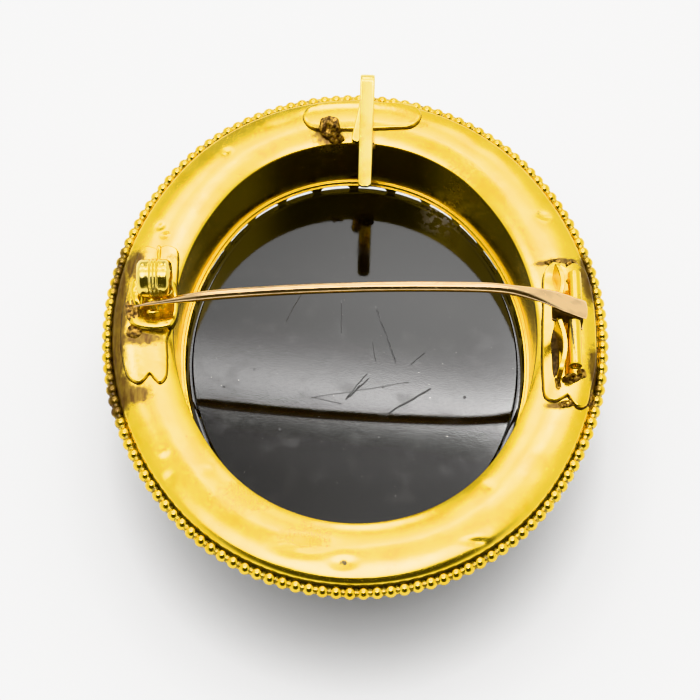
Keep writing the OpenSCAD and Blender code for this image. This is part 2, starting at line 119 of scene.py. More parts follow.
class Oval:
    """Side arcs centred on the X axis and end arcs centred on the Y axis, in millimetres."""

    def __init__(self):
        rise = (mm("half_height") - mm("half_width")) / (math.cos(JOIN) + math.sin(JOIN) - 1)
        self.end_c = rise * math.sin(JOIN)
        self.side_c = rise * math.cos(JOIN)
        self.end_r = mm("half_height") - self.end_c
        self.side_r = mm("half_width") + self.side_c

    def point(self, turn, inset):
        """Place at a turn and an inset."""
        c, s = np.cos(turn), np.sin(turn)
        side = np.abs(c) > math.cos(JOIN)
        side_r, end_r = self.side_r - inset, self.end_r - inset
        x = np.where(side, -np.sign(c) * self.side_c + side_r * c, end_r * c)
        y = np.where(side, side_r * s, np.sign(s) * self.end_c + end_r * s)
        return x, y

    def turns(self, count, inset, phase=0.0):
        """Turns of evenly spaced places round the oval, the first one phase steps past +X."""
        side = (self.side_r - inset) * JOIN
        end = (self.end_r - inset) * (math.pi - 2 * JOIN)
        lengths = np.cumsum([0, side, end, 2 * side, end, side])
        bounds = [0, JOIN, math.pi - JOIN, math.pi + JOIN, 2 * math.pi - JOIN, 2 * math.pi]
        steps = (np.arange(count) + phase) * lengths[-1] / count
        return np.interp(steps, lengths, bounds)

    def inset(self, x, y):
        """Inset of a place."""
        ax, ay = np.abs(x), np.abs(y)
        side = ay * math.cos(JOIN) <= (ax + self.side_c) * math.sin(JOIN)
        return np.where(side, self.side_r - np.hypot(ax + self.side_c, ay),
                        self.end_r - np.hypot(ax, ay - self.end_c))

    def side_x(self, y, inset):
        """X of the right side at a height Y."""
        return math.sqrt((self.side_r - inset) ** 2 - y * y) - self.side_c

    def end_y(self, x, inset):
        """Y of the upper end at a place X."""
        return self.end_c + math.sqrt((self.end_r - inset) ** 2 - x * x)


# Section of the border and collet: insets, radii and heights
OUT_INSET = 0.52
FLANGE_INSET = 0.38
SHOULDER_R = 0.8
DOME_R = 7.0
CREST_INSET = 3.3
RIM_INSET = 5.94
FOOT_INSET = 6.1
FOOT_Z = 5.6
STEP_INSET = 6.35
STEP_RISE = 0.7
RAIL_RISE = 0.35
COLLET_OUT = 6.2
COLLET_IN = 6.5
COVE_R = 9.0
EDGE_INSET = 0.67
LIP_IN = 7.75
LIP_LOW = 2.06
LIP_TOP = 2.46
# How far the windows' tops fall towards the outside
WINDOW_SLOPE = 0.04
# Dark ring between the collet and the stone, and dirt with painted shade in the crease beside the
# beads
DARK_RING_IN = 7.0
DARK_RING_TOP = 4.96
DARK_RING_DEPTH = 0.5
CREASE_W = 0.08
CREASE_Z = 10.2
CREASE_DIRT_AND_SHADE = 0.9
# Between soldered pieces; least inset of a plate's outline, and radius of its upper edge
GAP = 0.02
PLATE_OUT_INSET = 0.72
PLATE_EDGE_R = 0.13


def dome_z():
    """Height of the middle of the dome's arc."""
    return mm("bead_z") + mm("crest_rise") - DOME_R


def shoulder():
    """Inset and height of the middle of the shoulder's arc."""
    centre = OUT_INSET + SHOULDER_R
    run = CREST_INSET - centre
    return centre, dome_z() + math.sqrt((DOME_R - SHOULDER_R) ** 2 - run * run)


def border_top(inset):
    """Height of the border's back at an inset."""
    centre, z = shoulder()
    tangent = CREST_INSET - (CREST_INSET - centre) * DOME_R / (DOME_R - SHOULDER_R)
    inset = np.clip(inset, OUT_INSET, RIM_INSET)
    low = z + np.sqrt(np.maximum(SHOULDER_R ** 2 - (centre - inset) ** 2, 0))
    high = dome_z() + np.sqrt(np.maximum(DOME_R ** 2 - (inset - CREST_INSET) ** 2, 0))
    return np.where(inset < tangent, low, high)


def arc(centre, r, start, end, steps):
    """Points along an arc, with its ends in degrees."""
    a = np.radians(np.linspace(start, end, steps + 1))
    return [(centre[0] + r * math.cos(t), centre[1] + r * math.sin(t)) for t in a]


def rounded(points, steps=4):
    """Closed outline of (x, y, radius) corners, with each corner rounded."""
    out = []
    for i, (x, y, r) in enumerate(points):
        here = Vector((x, y))
        back = Vector(points[i - 1][:2]) - here
        on = Vector(points[(i + 1) % len(points)][:2]) - here
        if r <= 0:
            out.append((x, y))
            continue
        half = back.angle(on) / 2
        reach = min(r / math.tan(half), 0.49 * back.length, 0.49 * on.length)
        a, b = here + back.normalized() * reach, here + on.normalized() * reach
        for k in range(steps + 1):
            t = k / steps
            out.append(tuple(a * (1 - t) ** 2 + here * 2 * t * (1 - t) + b * t * t))
    return out


def spaced(points, step):
    """Closed outline with points no further apart than step."""
    out = []
    for i, p in enumerate(points):
        q = points[(i + 1) % len(points)]
        n = max(1, math.ceil(math.dist(p, q) / step))
        out += [tuple(np.array(p) * (1 - k / n) + np.array(q) * k / n) for k in range(n)]
    return out


# Shells: vertices in millimetres and faces

def band(a, b, n):
    """Faces between two rings of n points whose first points are a and b."""
    return [(a + i, a + (i + 1) % n, b + (i + 1) % n, b + i) for i in range(n)]


def outward(verts, faces):
    """The shell with its faces turned to point out of it."""
    v = np.asarray(verts, float)
    total = 0.0
    for f in faces:
        for k in range(1, len(f) - 1):
            total += np.dot(v[f[0]], np.cross(v[f[k]], v[f[k + 1]]))
    return (v, [tuple(reversed(f)) for f in faces]) if total < 0 else (v, faces)


def loft(rings, ring_path=False):
    """Shell through rings of equal point counts, closed on itself or capped at its ends."""
    rings = np.asarray(rings, float)
    count, size = rings.shape[:2]
    faces = []
    for i in range(count if ring_path else count - 1):
        a, b = i * size, (i + 1) % count * size
        faces += band(a, b, size)
    if not ring_path:
        faces += [tuple(reversed(range(size))), tuple(range((count - 1) * size, count * size))]
    return outward(rings.reshape(-1, 3), faces)


def round_oval(profile, stations, inset):
    """Rings of an (inset, z) profile at stations round the oval, evenly spaced at an inset."""
    oval = Oval()
    turns = oval.turns(stations, inset)
    prof = np.array(profile)
    x, y = oval.point(turns[:, None], prof[None, :, 0])
    return np.stack([x, y, np.broadcast_to(prof[None, :, 1], x.shape)], axis=-1)


def squircle(width, height, power, count=24):
    """Section between an ellipse (power 2) and a rectangle (higher powers)."""
    a = np.arange(count) * 2 * math.pi / count
    c, s = np.cos(a), np.sin(a)
    e = 2 / power
    return np.stack([width / 2 * np.sign(c) * np.abs(c) ** e,
                     height / 2 * np.sign(s) * np.abs(s) ** e], axis=-1)


def sweep(centres, across, up, sections):
    """Shell of sections along a path, with each section's axes given."""
    centres, across, up = (np.asarray(v, float)[:, None, :] for v in (centres, across, up))
    s = np.asarray(sections, float)
    return loft(centres + s[..., :1] * across + s[..., 1:] * up)


def revolve(profile, count, place):
    """Closed (r, along) profile turned about an axis; place maps (a, b, along) to a point."""
    a = np.arange(count) * 2 * math.pi / count
    return loft([[place(r * math.cos(t), r * math.sin(t), y) for r, y in profile] for t in a], True)


def fitted_plate(outline, surface, thickness, edge_r, step=0.3, dish=None):
    """Plate with rounded edges on a surface of heights; dish gives the depth of hollows in it."""
    ring = np.array(outline)
    ahead = np.roll(ring, -1, axis=0) - np.roll(ring, 1, axis=0)
    area = np.sum(ring[:, 0] * np.roll(ring[:, 1], -1) - ring[:, 1] * np.roll(ring[:, 0], -1))
    inward = np.stack([-ahead[:, 1], ahead[:, 0]], axis=-1) * np.sign(area)
    inward /= np.linalg.norm(inward, axis=1, keepdims=True)
    rings = [(ring, 0.0)]
    for a in np.radians([0, 30, 60, 90]):
        rings.append((ring + inward * edge_r * (1 - math.cos(a)),
                      thickness - edge_r * (1 - math.sin(a))))
    n = len(ring)
    plan = np.concatenate([r for r, _ in rings])
    height = np.concatenate([np.full(n, h) for _, h in rings])
    faces = []
    for k in range(len(rings) - 1):
        faces += band(k * n, (k + 1) * n, n)
    (x0, y0), (x1, y1) = ring.min(axis=0), ring.max(axis=0)
    gx, gy = np.meshgrid(np.arange(x0, x1, step), np.arange(y0, y1, step))
    grid = np.stack([gx.ravel(), gy.ravel()], axis=-1)
    top = rings[-1][0]
    near = np.array([np.min(np.hypot(*(top - p).T)) for p in grid])
    inside = np.array([winding(top, p) for p in grid]) & (near > 0.5 * step)
    grid = grid[inside]
    loop = [(i, (i + 1) % n) for i in range(n)]
    coords = [Vector(p) for p in np.concatenate([top, grid])]
    cdt = delaunay_2d_cdt(coords, loop, [], 1, 1e-6)  # 1: only the triangles inside the outline
    top_start, grid_start = (len(rings) - 1) * n, len(plan)
    plan = np.concatenate([plan, grid, grid])
    height = np.concatenate([height, np.full(len(grid), thickness), np.zeros(len(grid))])
    source = [o[0] for o in cdt[3]]
    for face in cdt[2]:
        ids = [source[i] for i in face]
        up = [top_start + i if i < n else grid_start + i - n for i in ids]
        down = [i if i < n else grid_start + len(grid) + i - n for i in ids]
        faces += [tuple(up), tuple(reversed(down))]
    if dish is not None:
        height = height - dish(plan[:, 0], plan[:, 1]) * (height > thickness * 0.9)
    z = surface(plan[:, 0], plan[:, 1]) + height
    return outward(np.column_stack([plan, z]), faces)


def winding(ring, p):
    """Whether a place lies inside a closed outline."""
    d = ring - p
    a = np.arctan2(d[:, 1], d[:, 0])
    turn = np.diff(np.append(a, a[0]))
    turn = (turn + math.pi) % (2 * math.pi) - math.pi
    return abs(turn.sum()) > math.pi


def wobble(points, size, seed):
    """Smooth noise from -1 to 1 at points, with lumps of about the given size."""
    shift = Vector((seed * 7.3, seed * 3.1, seed * 5.7))
    return np.array([noise.noise(Vector(p) / size + shift) for p in points])


# How deep a lump is sunk into its surface, and the height of the rim under its edge
LUMP_SINK = 0.04
LUMP_RIM = 0.05
# Unevenness of a lump's outline, how flat its top is, and its pits' share of its height
LUMP_EDGE = 0.22
LUMP_FALL = 2.4
PIT_SHARE = 0.9


def blob(x, y, rx, ry, height, seed, surface, turn=0.0, rough=0.3, pits=()):
    """Lump of solder on a surface; pits are (x, y, radius) in the lump's own unit circle."""
    rings, segs = 9, 30
    verts, faces = [], []
    c, s = math.cos(turn), math.sin(turn)
    for k in range(rings + 1):
        t = k / rings
        for i in range(segs):
            a = 2 * math.pi * i / segs
            cos, sin = math.cos(a), math.sin(a)
            edge = 1 + LUMP_EDGE * noise.noise(Vector((cos * 1.6, sin * 1.6, seed * 3.7)))
            u, v = t * edge * cos, t * edge * sin
            px, py = x + rx * u * c - ry * v * s, y + rx * u * s + ry * v * c
            rise = height * math.sqrt(max(1 - t ** LUMP_FALL, 0))
            rise *= 1 + rough * 2 * noise.noise(Vector((px * 2.2, py * 2.2, seed)))
            for pu, pv, pr in pits:
                rise -= height * PIT_SHARE * math.exp(-((u - pu) ** 2 + (v - pv) ** 2) / pr ** 2)
            least = 0.0 if t == 1 else 0.01
            verts.append((px, py, float(surface(px, py)) - LUMP_SINK + max(rise, least)))
    for k in range(rings):
        faces += band(k * segs, (k + 1) * segs, segs)
    base = len(verts)
    verts += [(px, py, z - LUMP_RIM) for px, py, z in verts[rings * segs:]]
    faces += band(rings * segs, base, segs)
    faces += [tuple(reversed(range(base, base + segs))), tuple(range(segs))]
    return outward(verts, faces)


# Stains and painted shade: each spot is x, y, half sizes along X and Y, strength
FIRESCALE_SPOTS = [
    (-20.9, -0.5, 0.75, 8.5, 1.0), (-20.6, -7.0, 1.1, 2.0, 1.0), (-19.2, -7.2, 1.6, 0.9, 0.8),
    (-19.6, 6.0, 1.0, 1.6, 0.8), (-18.6, -1.9, 1.9, 0.7, 0.75), (-16.2, 6.6, 0.8, 0.6, 0.3),
    (-1.9, 20.3, 1.7, 1.1, 0.7), (20.9, 3.6, 0.6, 2.6, 1.0), (17.2, 5.3, 1.0, 0.3, 0.8),
    (19.0, 5.5, 1.3, 0.3, 0.9), (16.9, -9.3, 1.2, 0.35, 0.7), (20.6, -6.0, 0.5, 2.2, 0.9),
    (6.6, 21.2, 1.2, 0.5, 0.3),
]
# Old dirt, and painted shade where the hinge's strip, knuckles and block meet
DIRT_AND_SHADE_SPOTS = [
    (-19.6, 0.2, 0.45, 1.0, 0.45), (-1.7, 21.2, 0.7, 1.0, 0.5), (17.1, 10.8, 0.3, 0.3, 0.5),
    (-17.1, 9.2, 0.25, 0.25, 0.4), (9.4, -21.6, 0.6, 0.12, 0.25), (-1.5, -23.2, 0.5, 0.3, 0.7),
    (-17.3, 1.1, 1.2, 0.7, 0.4), (19.6, 0.0, 0.55, 0.4, 0.45), (18.2, -0.55, 1.2, 0.18, 0.5),
    (18.57, -3.4, 0.13, 2.6, 0.8), (18.53, 3.0, 0.13, 1.5, 0.8),
]
RUBBED_SPOTS = [
    (-9.8, -17.2, 2.6, 1.6, 1.0), (-4.6, -20.9, 2.4, 0.9, 1.0), (10.2, 15.6, 2.2, 2.2, 0.5),
]
# Firescale is this much stronger than its spots, and begins above a height
FIRESCALE_GAIN = 1.5
FIRESCALE_LOW = 10.3
FIRESCALE_FADE = 0.6


def spots_at(points, spots):
    """Strength of the spots at each point, fading from their middles."""
    out = np.zeros(len(points))
    for x, y, rx, ry, strength in spots:
        d = ((points[:, 0] - x) / rx) ** 2 + ((points[:, 1] - y) / ry) ** 2
        out = np.maximum(out, strength * np.exp(-d))
    return out


def new_mesh(name, verts, faces, edges=()):
    """Mesh of vertices in millimetres."""
    mesh = bpy.data.meshes.new(name)
    mesh.from_pydata((np.asarray(verts, float) * MM).tolist(), edges, faces)
    return mesh


def linked(name, mesh):
    """Object of a mesh, in the scene."""
    obj = bpy.data.objects.new(name, mesh)
    bpy.context.collection.objects.link(obj)
    return obj


def make_piece(name, shells, finish, **settings):
    """One visible piece from shells; the settings are those of finish_piece."""
    verts, faces, base = [], [], 0
    for v, f in shells:
        verts.append(v)
        faces += [tuple(base + i for i in face) for face in f]
        base += len(v)
    mesh = new_mesh(name, np.concatenate(verts), faces)
    mesh.validate()
    finish_piece(mesh, name, finish, **settings)


def finish_piece(mesh, name, finish, body="brooch", replaces=None, angle=60, grime=None, slot=None):
    """One visible piece from a mesh in metres, with stains and painted shade on its points.
    Edges sharper than the angle stay sharp, and an extra mask adds dirt and painted shade."""
    verts = np.empty(len(mesh.vertices) * 3)
    mesh.vertices.foreach_get("co", verts)
    verts = verts.reshape(-1, 3) / MM
    dirt_and_shade_values = spots_at(verts, DIRT_AND_SHADE_SPOTS)
    if grime is not None:
        dirt_and_shade_values = np.maximum(dirt_and_shade_values, grime(verts))
    on_back = np.clip((verts[:, 2] - FIRESCALE_LOW) / FIRESCALE_FADE, 0, 1)
    fire = np.minimum(FIRESCALE_GAIN * spots_at(verts, FIRESCALE_SPOTS), 1) * on_back
    rubbed = spots_at(verts, RUBBED_SPOTS)
    for label, values in (("firescale", fire), ("grime", dirt_and_shade_values), ("rubbed", rubbed)):
        attribute = mesh.attributes.new(label, "FLOAT", "POINT")
        attribute.data.foreach_set("value", values.astype(np.float32))
    mesh.shade_smooth()
    mesh.set_sharp_from_angle(angle=math.radians(angle))
    piece = linked(name, mesh)
    mesh.materials.clear()
    mesh.materials.append(finish_of(finish))
    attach(piece, body)
    if replaces:
        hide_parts(replaces)


def coat(node, finish):
    """Gives a carried-over solid a finish."""
    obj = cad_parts[node]
    if not obj.material_slots:
        obj.data.materials.append(finish_of(finish))
    for slot in obj.material_slots:
        slot.material = finish_of(finish)


# Materials

class Tree:
    """A node tree, with short calls to add and join nodes."""

    def __init__(self, tree):
        self.tree = tree

    def dot(self, a, b):
        node = self.add("ShaderNodeVectorMath", {0: a, 1: b}, operation="DOT_PRODUCT")
        return node.outputs["Value"]

    def join(self, value, socket):
        """Sets a socket to a value, or links it to a node's or a socket's output."""
        if isinstance(value, bpy.types.Node):
            value = value.outputs[2 if getattr(value, "data_type", "") == "RGBA" else 0]
        if isinstance(value, bpy.types.NodeSocket):
            self.tree.links.new(value, socket)
        else:
            socket.default_value = value

    def add(self, kind, inputs=None, **settings):
        node = self.tree.nodes.new(kind)
        for key, value in settings.items():
            setattr(node, key, value)
        for key, value in (inputs or {}).items():
            self.join(value, node.inputs[key])
        return node

    def math(self, kind, a, b=0.0, clamp=False):
        return self.add("ShaderNodeMath", {0: a, 1: b}, operation=kind, use_clamp=clamp)

    def plus(self, a, b):
        return self.math("ADD", a, b)

    def times(self, a, b):
        return self.math("MULTIPLY", a, b)

    def ramp(self, value, low, high, out_low=0.0, out_high=1.0, form="SMOOTHSTEP"):
        """Goes from out_low to out_high while the value goes from low to high."""
        return self.add("ShaderNodeMapRange", {
            "Value": value, "From Min": low, "From Max": high,
            "To Min": out_low, "To Max": out_high}, interpolation_type=form)


class Nodes(Tree):
    """A material's node tree, with places in millimetres."""

    def __init__(self, name):
        self.material = bpy.data.materials.new(name)
        self.material.use_nodes = True
        super().__init__(self.material.node_tree)
        self.shader = self.tree.nodes["Principled BSDF"]
        coords = self.add("ShaderNodeTexCoord").outputs["Object"]
        self.place = self.add("ShaderNodeVectorMath", {0: coords, "Scale": 1 / MM},
                              operation="SCALE")

    def noise(self, size, detail=2.0, stretch=(1, 1, 1), rough=0.55, turn=0.0):
        """Noise from 0 to 1 with features of about the given size in millimetres."""
        scale = tuple(1 / (size * s) for s in stretch)
        place = self.add("ShaderNodeMapping", {
            "Vector": self.place, "Rotation": (0, 0, turn), "Scale": scale})
        return self.add("ShaderNodeTexNoise", {
            "Vector": place, "Scale": 1.0, "Detail": detail, "Roughness": rough})

    def mix(self, factor, a, b):
        """Mix of two colours."""
        return self.add("ShaderNodeMix", {0: factor, 6: a, 7: b}, data_type="RGBA")

    def stain(self, name, size, low=0.25, high=0.6):
        """Mask of a stored stain or painted shade, broken up at its edge by noise."""
        stored = self.add("ShaderNodeAttribute", attribute_name=name).outputs["Fac"]
        broken = self.math("MULTIPLY_ADD", self.noise(size, 4.0), 0.9)
        broken.inputs[2].default_value = -0.45
        broken = self.times(broken, self.ramp(stored, 0.02, 0.25))
        return self.ramp(self.plus(stored, broken), low, high)

    def line(self, a, b, width):
        """Mask of a straight scratch between two places, in millimetres."""
        a, b = Vector((*a, 0)), Vector((*b, 0))
        along = (b - a).normalized()
        d = self.add("ShaderNodeVectorMath", {0: self.place, 1: (a + b) / 2}, operation="SUBTRACT")
        t, s = self.dot(d, along), self.dot(d, (-along.y, along.x, 0))
        bend = self.times(self.math("SUBTRACT", self.noise(1.4, 1.0), 0.5), 0.25)
        across = self.ramp(self.math("ABSOLUTE", self.plus(s, bend)), 0, width, 1, 0)
        half = (b - a).length / 2
        ends = self.ramp(self.math("ABSOLUTE", t), half * 0.8, half, 1, 0)
        return self.times(across, ends)

    def spot(self, x, y, r):
        """Mask of a round spot, in millimetres."""
        d = self.add("ShaderNodeVectorMath", {0: self.place, 1: (x, y, 0)}, operation="SUBTRACT")
        flat = self.add("ShaderNodeVectorMath", {0: d, 1: (1, 1, 0)}, operation="MULTIPLY")
        far = self.add("ShaderNodeVectorMath", {0: flat}, operation="LENGTH").outputs["Value"]
        return self.ramp(far, r * 0.3, r, 1, 0)

    def most(self, values):
        """Greatest of several masks."""
        out = values[0]
        for v in values[1:]:
            out = self.math("MAXIMUM", out, v)
        return out

    def bump(self, height, depth_mm, after=None):
        """Relief of a height, added to an earlier relief."""
        inputs = {"Height": height, "Strength": 1.0, "Distance": depth_mm * MM}
        if after is not None:
            inputs["Normal"] = after
        return self.add("ShaderNodeBump", inputs)

    def finish(self, **sockets):
        """The material, with the shader's named sockets set or linked."""
        for key, value in sockets.items():
            self.join(value, self.shader.inputs[key.replace("_", " ")])
        return self.material


def gold_finish(name, base, worn, rough, hair, hair_stretch, dimple=0.0, stains=True,
                clouds=(3.0, 3.0)):
    """Worn gold: tint drift, brushed hairs, pores, scratches, and stains and painted shade
    from stored masks. Clouds are the size, detail and stretch of the drift between the two tints."""
    n = Nodes(name)
    drift = n.noise(*clouds)
    colour_node = n.mix(n.ramp(drift, 0.42, 0.68), base, worn)
    hairs = n.noise(0.09, 2.0, hair_stretch)
    cloud = n.noise(1.3, 4.0)
    roughness = n.plus(n.times(hairs, 0.06), n.times(cloud, 0.14))
    roughness = n.plus(roughness, rough - 0.10)
    pores = n.ramp(n.noise(0.16, 1.0), 0.70, 0.80)
    specks = n.ramp(n.noise(0.35, 2.0), 0.735, 0.79)
    colour_node = n.mix(n.times(specks, 0.55), colour_node, tint("grime"))
    rubbed = n.stain("rubbed", 0.5)
    dull = tuple(c * 0.72 for c in worn[:3]) + (1,)
    colour_node = n.mix(n.times(rubbed, 0.6), colour_node, dull)
    scratch = n.noise(0.12, 2.0, (1, 9, 1), turn=0.5)
    height = n.bump(hairs, hair)
    height = n.bump(n.noise(1.6, 2.0), 0.010 + dimple, height)
    height = n.bump(pores, -0.008, height)
    height = n.bump(n.times(scratch, rubbed), 0.02, height)
    metallic = 1.0
    if stains:
        fire = n.stain("firescale", 0.45, 0.12, 0.75)
        streaks = n.noise(0.35, 4.0, (1, 4, 1))
        fire_tint = n.mix(n.noise(0.5, 3.0), tint("firescale"), (0.13, 0.065, 0.03, 1))
        fire_share = n.times(fire, n.ramp(streaks, 0.3, 0.7, 0.84, 0.98))
        colour_node = n.mix(fire_share, colour_node, fire_tint)
        # Old dirt and painted shade from the stored mask darken the gold
        grime = n.stain("grime", 0.22)
        colour_node = n.mix(n.times(grime, 0.93), colour_node, tint("grime"))
        metallic = n.math("SUBTRACT", 1.0, n.math("MAXIMUM", n.times(fire, 0.12),
                                                  n.times(grime, 0.85)))
        roughness = n.plus(roughness, n.times(n.math("MAXIMUM", fire, grime), 0.22))
    roughness = n.plus(roughness, n.times(rubbed, 0.10))
    return n.finish(Base_Color=colour_node, Metallic=metallic, Roughness=roughness, Normal=height)


# Stained golds: base and worn tint, roughness, depth and stretch of the hairs, depth of the dimples
GOLDS = {
    "border": ("gold", "deep_gold", 0.17, 0.0012, (1, 14, 1), 0.0),
    "well": ("gold", "deep_gold", 0.16, 0.0010, (6, 6, 1), 0.0),
    "bead": ("gold", "deep_gold", 0.12, 0.0010, (1, 1, 1), 0.0),
    "fitting": ("gold", "deep_gold", 0.15, 0.0020, (1, 12, 1), 0.010),
    "pale": ("pale_gold", "gold", 0.12, 0.0020, (1, 12, 1), 0.006),
}


def pin_gold():
    """Clean rose gold, with painted shade: darker streaks along the pin stand in for its
    reflections.
    """
    base = tint("rose_gold")
    # A darker copy of the rose gold, for painted streaks of shade
    worn = tuple(c * 0.80 for c in base[:3]) + (1.0,)
    return gold_finish("pin gold", base, worn, 0.13, 0.0030, (10, 1, 1), stains=False,
                       clouds=(0.9, 1.0, (5, 1, 1)))


def solder_gold():
    """Pitted solder with old dirt in its holes."""
    n = Nodes("old solder")
    lumps = n.noise(0.35, 5.0)
    skin = n.mix(n.ramp(lumps, 0.40, 0.62), tint("firescale"), (0.50, 0.29, 0.06, 1))
    holes = n.ramp(n.noise(0.28, 1.0), 0.64, 0.74)
    skin = n.mix(n.times(holes, 0.9), skin, tint("grime"))
    height = n.bump(n.noise(0.22, 3.0), 0.05)
    height = n.bump(holes, -0.06, height)
    rough = n.ramp(lumps, 0.3, 0.7, 0.55, 0.32)
    return n.finish(Base_Color=skin, Metallic=0.8, Roughness=rough, Normal=height)


def dark_seam_and_painted_shade():
    """Dark, uneven line of solder and dirt, also used as painted shade beside the hinge's strip and
    inside the pin's block.
    """
    n = Nodes("dark seam")
    lumps = n.noise(0.3, 3.0)
    skin = n.mix(n.ramp(lumps, 0.35, 0.7), tint("grime"), (0.12, 0.065, 0.02, 1))
    return n.finish(Base_Color=skin, Metallic=0.55, Roughness=n.ramp(lumps, 0.3, 0.7, 0.6, 0.4),
                    Normal=n.bump(lumps, 0.03))


# Scratches on the stone: ends and width
SCRATCHES = [
    ((2.04, 5.44), (3.83, -1.07), 0.10), ((-1.03, 6.07), (-1.21, 2.15), 0.05),
    ((-1.01, -4.58), (1.32, -2.37), 0.07), ((-0.6, -4.3), (0.4, -3.1), 0.05),
    ((-4.16, -4.3), (4.94, -2.88), 0.05), ((2.55, -6.21), (6.91, -3.55), 0.09),
    ((-0.91, -4.38), (1.16, -1.84), 0.05), ((1.64, 1.65), (1.93, -0.7), 0.05),
    ((5.02, -1.1), (6.46, 0.24), 0.05), ((-4.1, -4.2), (-1.3, -5.0), 0.05),
    ((11.0, 13.0), (12.3, 11.6), 0.05), ((-6.5, 3.5), (-4.2, 8.0), 0.04),
]
STONE_PITS = [(-11.95, -2.96, 0.12), (2.47, -3.33, 0.12), (9.8, -4.6, 0.15), (-6.9, -7.4, 0.12),
              (-9.2, -1.2, 0.10), (5.6, 2.4, 0.09), (-3.0, 7.6, 0.09), (8.9, -1.5, 0.08)]


def black_stone():
    """Polished stone with an orange-peel grain, scratches, pits and dust."""
    n = Nodes("black stone")
    grain = n.noise(0.13, 2.0, rough=0.6)
    orange_peel = n.noise(1.1, 2.0)
    lines = n.most([n.line(*s) for s in SCRATCHES])
    pits = n.most([n.spot(*p) for p in STONE_PITS])
    film = n.ramp(n.noise(2.6, 4.0), 0.50, 0.74)
    specks = n.ramp(n.noise(0.22, 1.0), 0.785, 0.81)
    residue = n.times(n.spot(8.8, 15.4, 2.9), n.ramp(n.noise(0.7, 4.0), 0.44, 0.56))
    haze = n.math("ADD", n.times(film, 0.010), n.times(residue, 0.35), clamp=True)
    skin = n.mix(haze, tint("stone"), tint("dust"))
    skin = n.mix(n.times(specks, 0.55), skin, tint("dust"))
    dull = n.math("MAXIMUM", lines, n.math("MAXIMUM", pits, residue))
    rough = n.plus(n.times(film, 0.05), n.times(dull, 0.25))
    rough = n.plus(rough, 0.05)
    height = n.bump(orange_peel, 0.0008)
    height = n.bump(grain, 0.0013, height)
    height = n.bump(n.math("MAXIMUM", lines, pits), -0.012, height)
    return n.finish(Base_Color=skin, Roughness=rough, IOR=1.57, Normal=height)


def floor_paper():
    """Pale matt surface, a little uneven."""
    n = Nodes("pale surface")
    base = tint("floor")
    shade = tuple(c * 0.985 for c in base[:3]) + (1.0,)
    skin = n.mix(n.noise(14.0, 3.0), base, shade)
    relief = n.bump(n.noise(0.4, 2.0), 0.004)
    return n.finish(Base_Color=skin, Roughness=0.8, Specular_IOR_Level=0.0, Normal=relief)


MAKERS = {"rose": pin_gold, "solder": solder_gold, "seam": dark_seam_and_painted_shade, "stone": black_stone,
          "floor": floor_paper}
made = {}


def finish_of(name):
    """Material of a finish, made when it is first asked for."""
    if name not in made:
        if name in GOLDS:
            base, worn, *rest = GOLDS[name]
            made[name] = gold_finish(name + " gold", tint(base), tint(worn), *rest)
        else:
            made[name] = MAKERS[name]()
    return made[name]


# Border and collet

# Dents: x, y, half sizes along X and Y, depth
DENTS = [
    (-17.43, 10.16, 0.35, 0.35, 0.10), (-17.04, 9.16, 0.35, 0.3, 0.10),
    (-11.52, 18.54, 0.35, 0.35, 0.08), (17.6, 10.5, 0.7, 0.45, 0.12),
    (-1.6, -23.2, 1.1, 0.55, 0.13), (9.4, -21.6, 1.0, 0.28, 0.09), (-16.52, -12.71, 0.5, 0.5, 0.07),
    (-15.85, -15.16, 0.5, 0.5, 0.07), (10.62, -16.67, 0.45, 0.45, 0.06),
    (-4.6, -21.6, 2.4, 0.8, 0.15), (-12.6, -14.6, 0.5, 0.5, 0.05), (19.6, 6.2, 0.9, 1.4, 0.05),
    (-6.5, 22.6, 1.6, 0.9, 0.04), (12.4, 19.4, 1.4, 1.1, 0.05), (15.3, -15.4, 1.5, 1.2, 0.05),
]


# Hand-made unevenness: depth, size, seed
WAVES = [(0.020, 4.5, 1), (0.007, 1.5, 2)]
# The dents fade out this far below the crest, over this height
DENTS_END = 1.6
DENTS_FADE = 1.2


def battered(rings, top_z):
    """The border's rings with its dents and a hand-made unevenness pressed into the back."""
    flat = rings.reshape(-1, 3)
    on_back = np.clip((flat[:, 2] - top_z + DENTS_END) / DENTS_FADE, 0, 1)
    drop = np.zeros(len(flat))
    for x, y, rx, ry, depth in DENTS:
        drop += depth * np.exp(-((flat[:, 0] - x) / rx) ** 2 - ((flat[:, 1] - y) / ry) ** 2)
    drop += sum(depth * wobble(flat * (1, 1, 0), size, seed) for depth, size, seed in WAVES)
    flat[:, 2] -= drop * on_back
    return rings


# Where the wall of the well keeps a point, from the rim to its foot
WALL_STOPS = (0.12, 0.3, 0.5, 0.7, 0.85)
# How far the dome's arc runs past the rim, in degrees, before the rim is rounded
RIM_PAST = 2.6


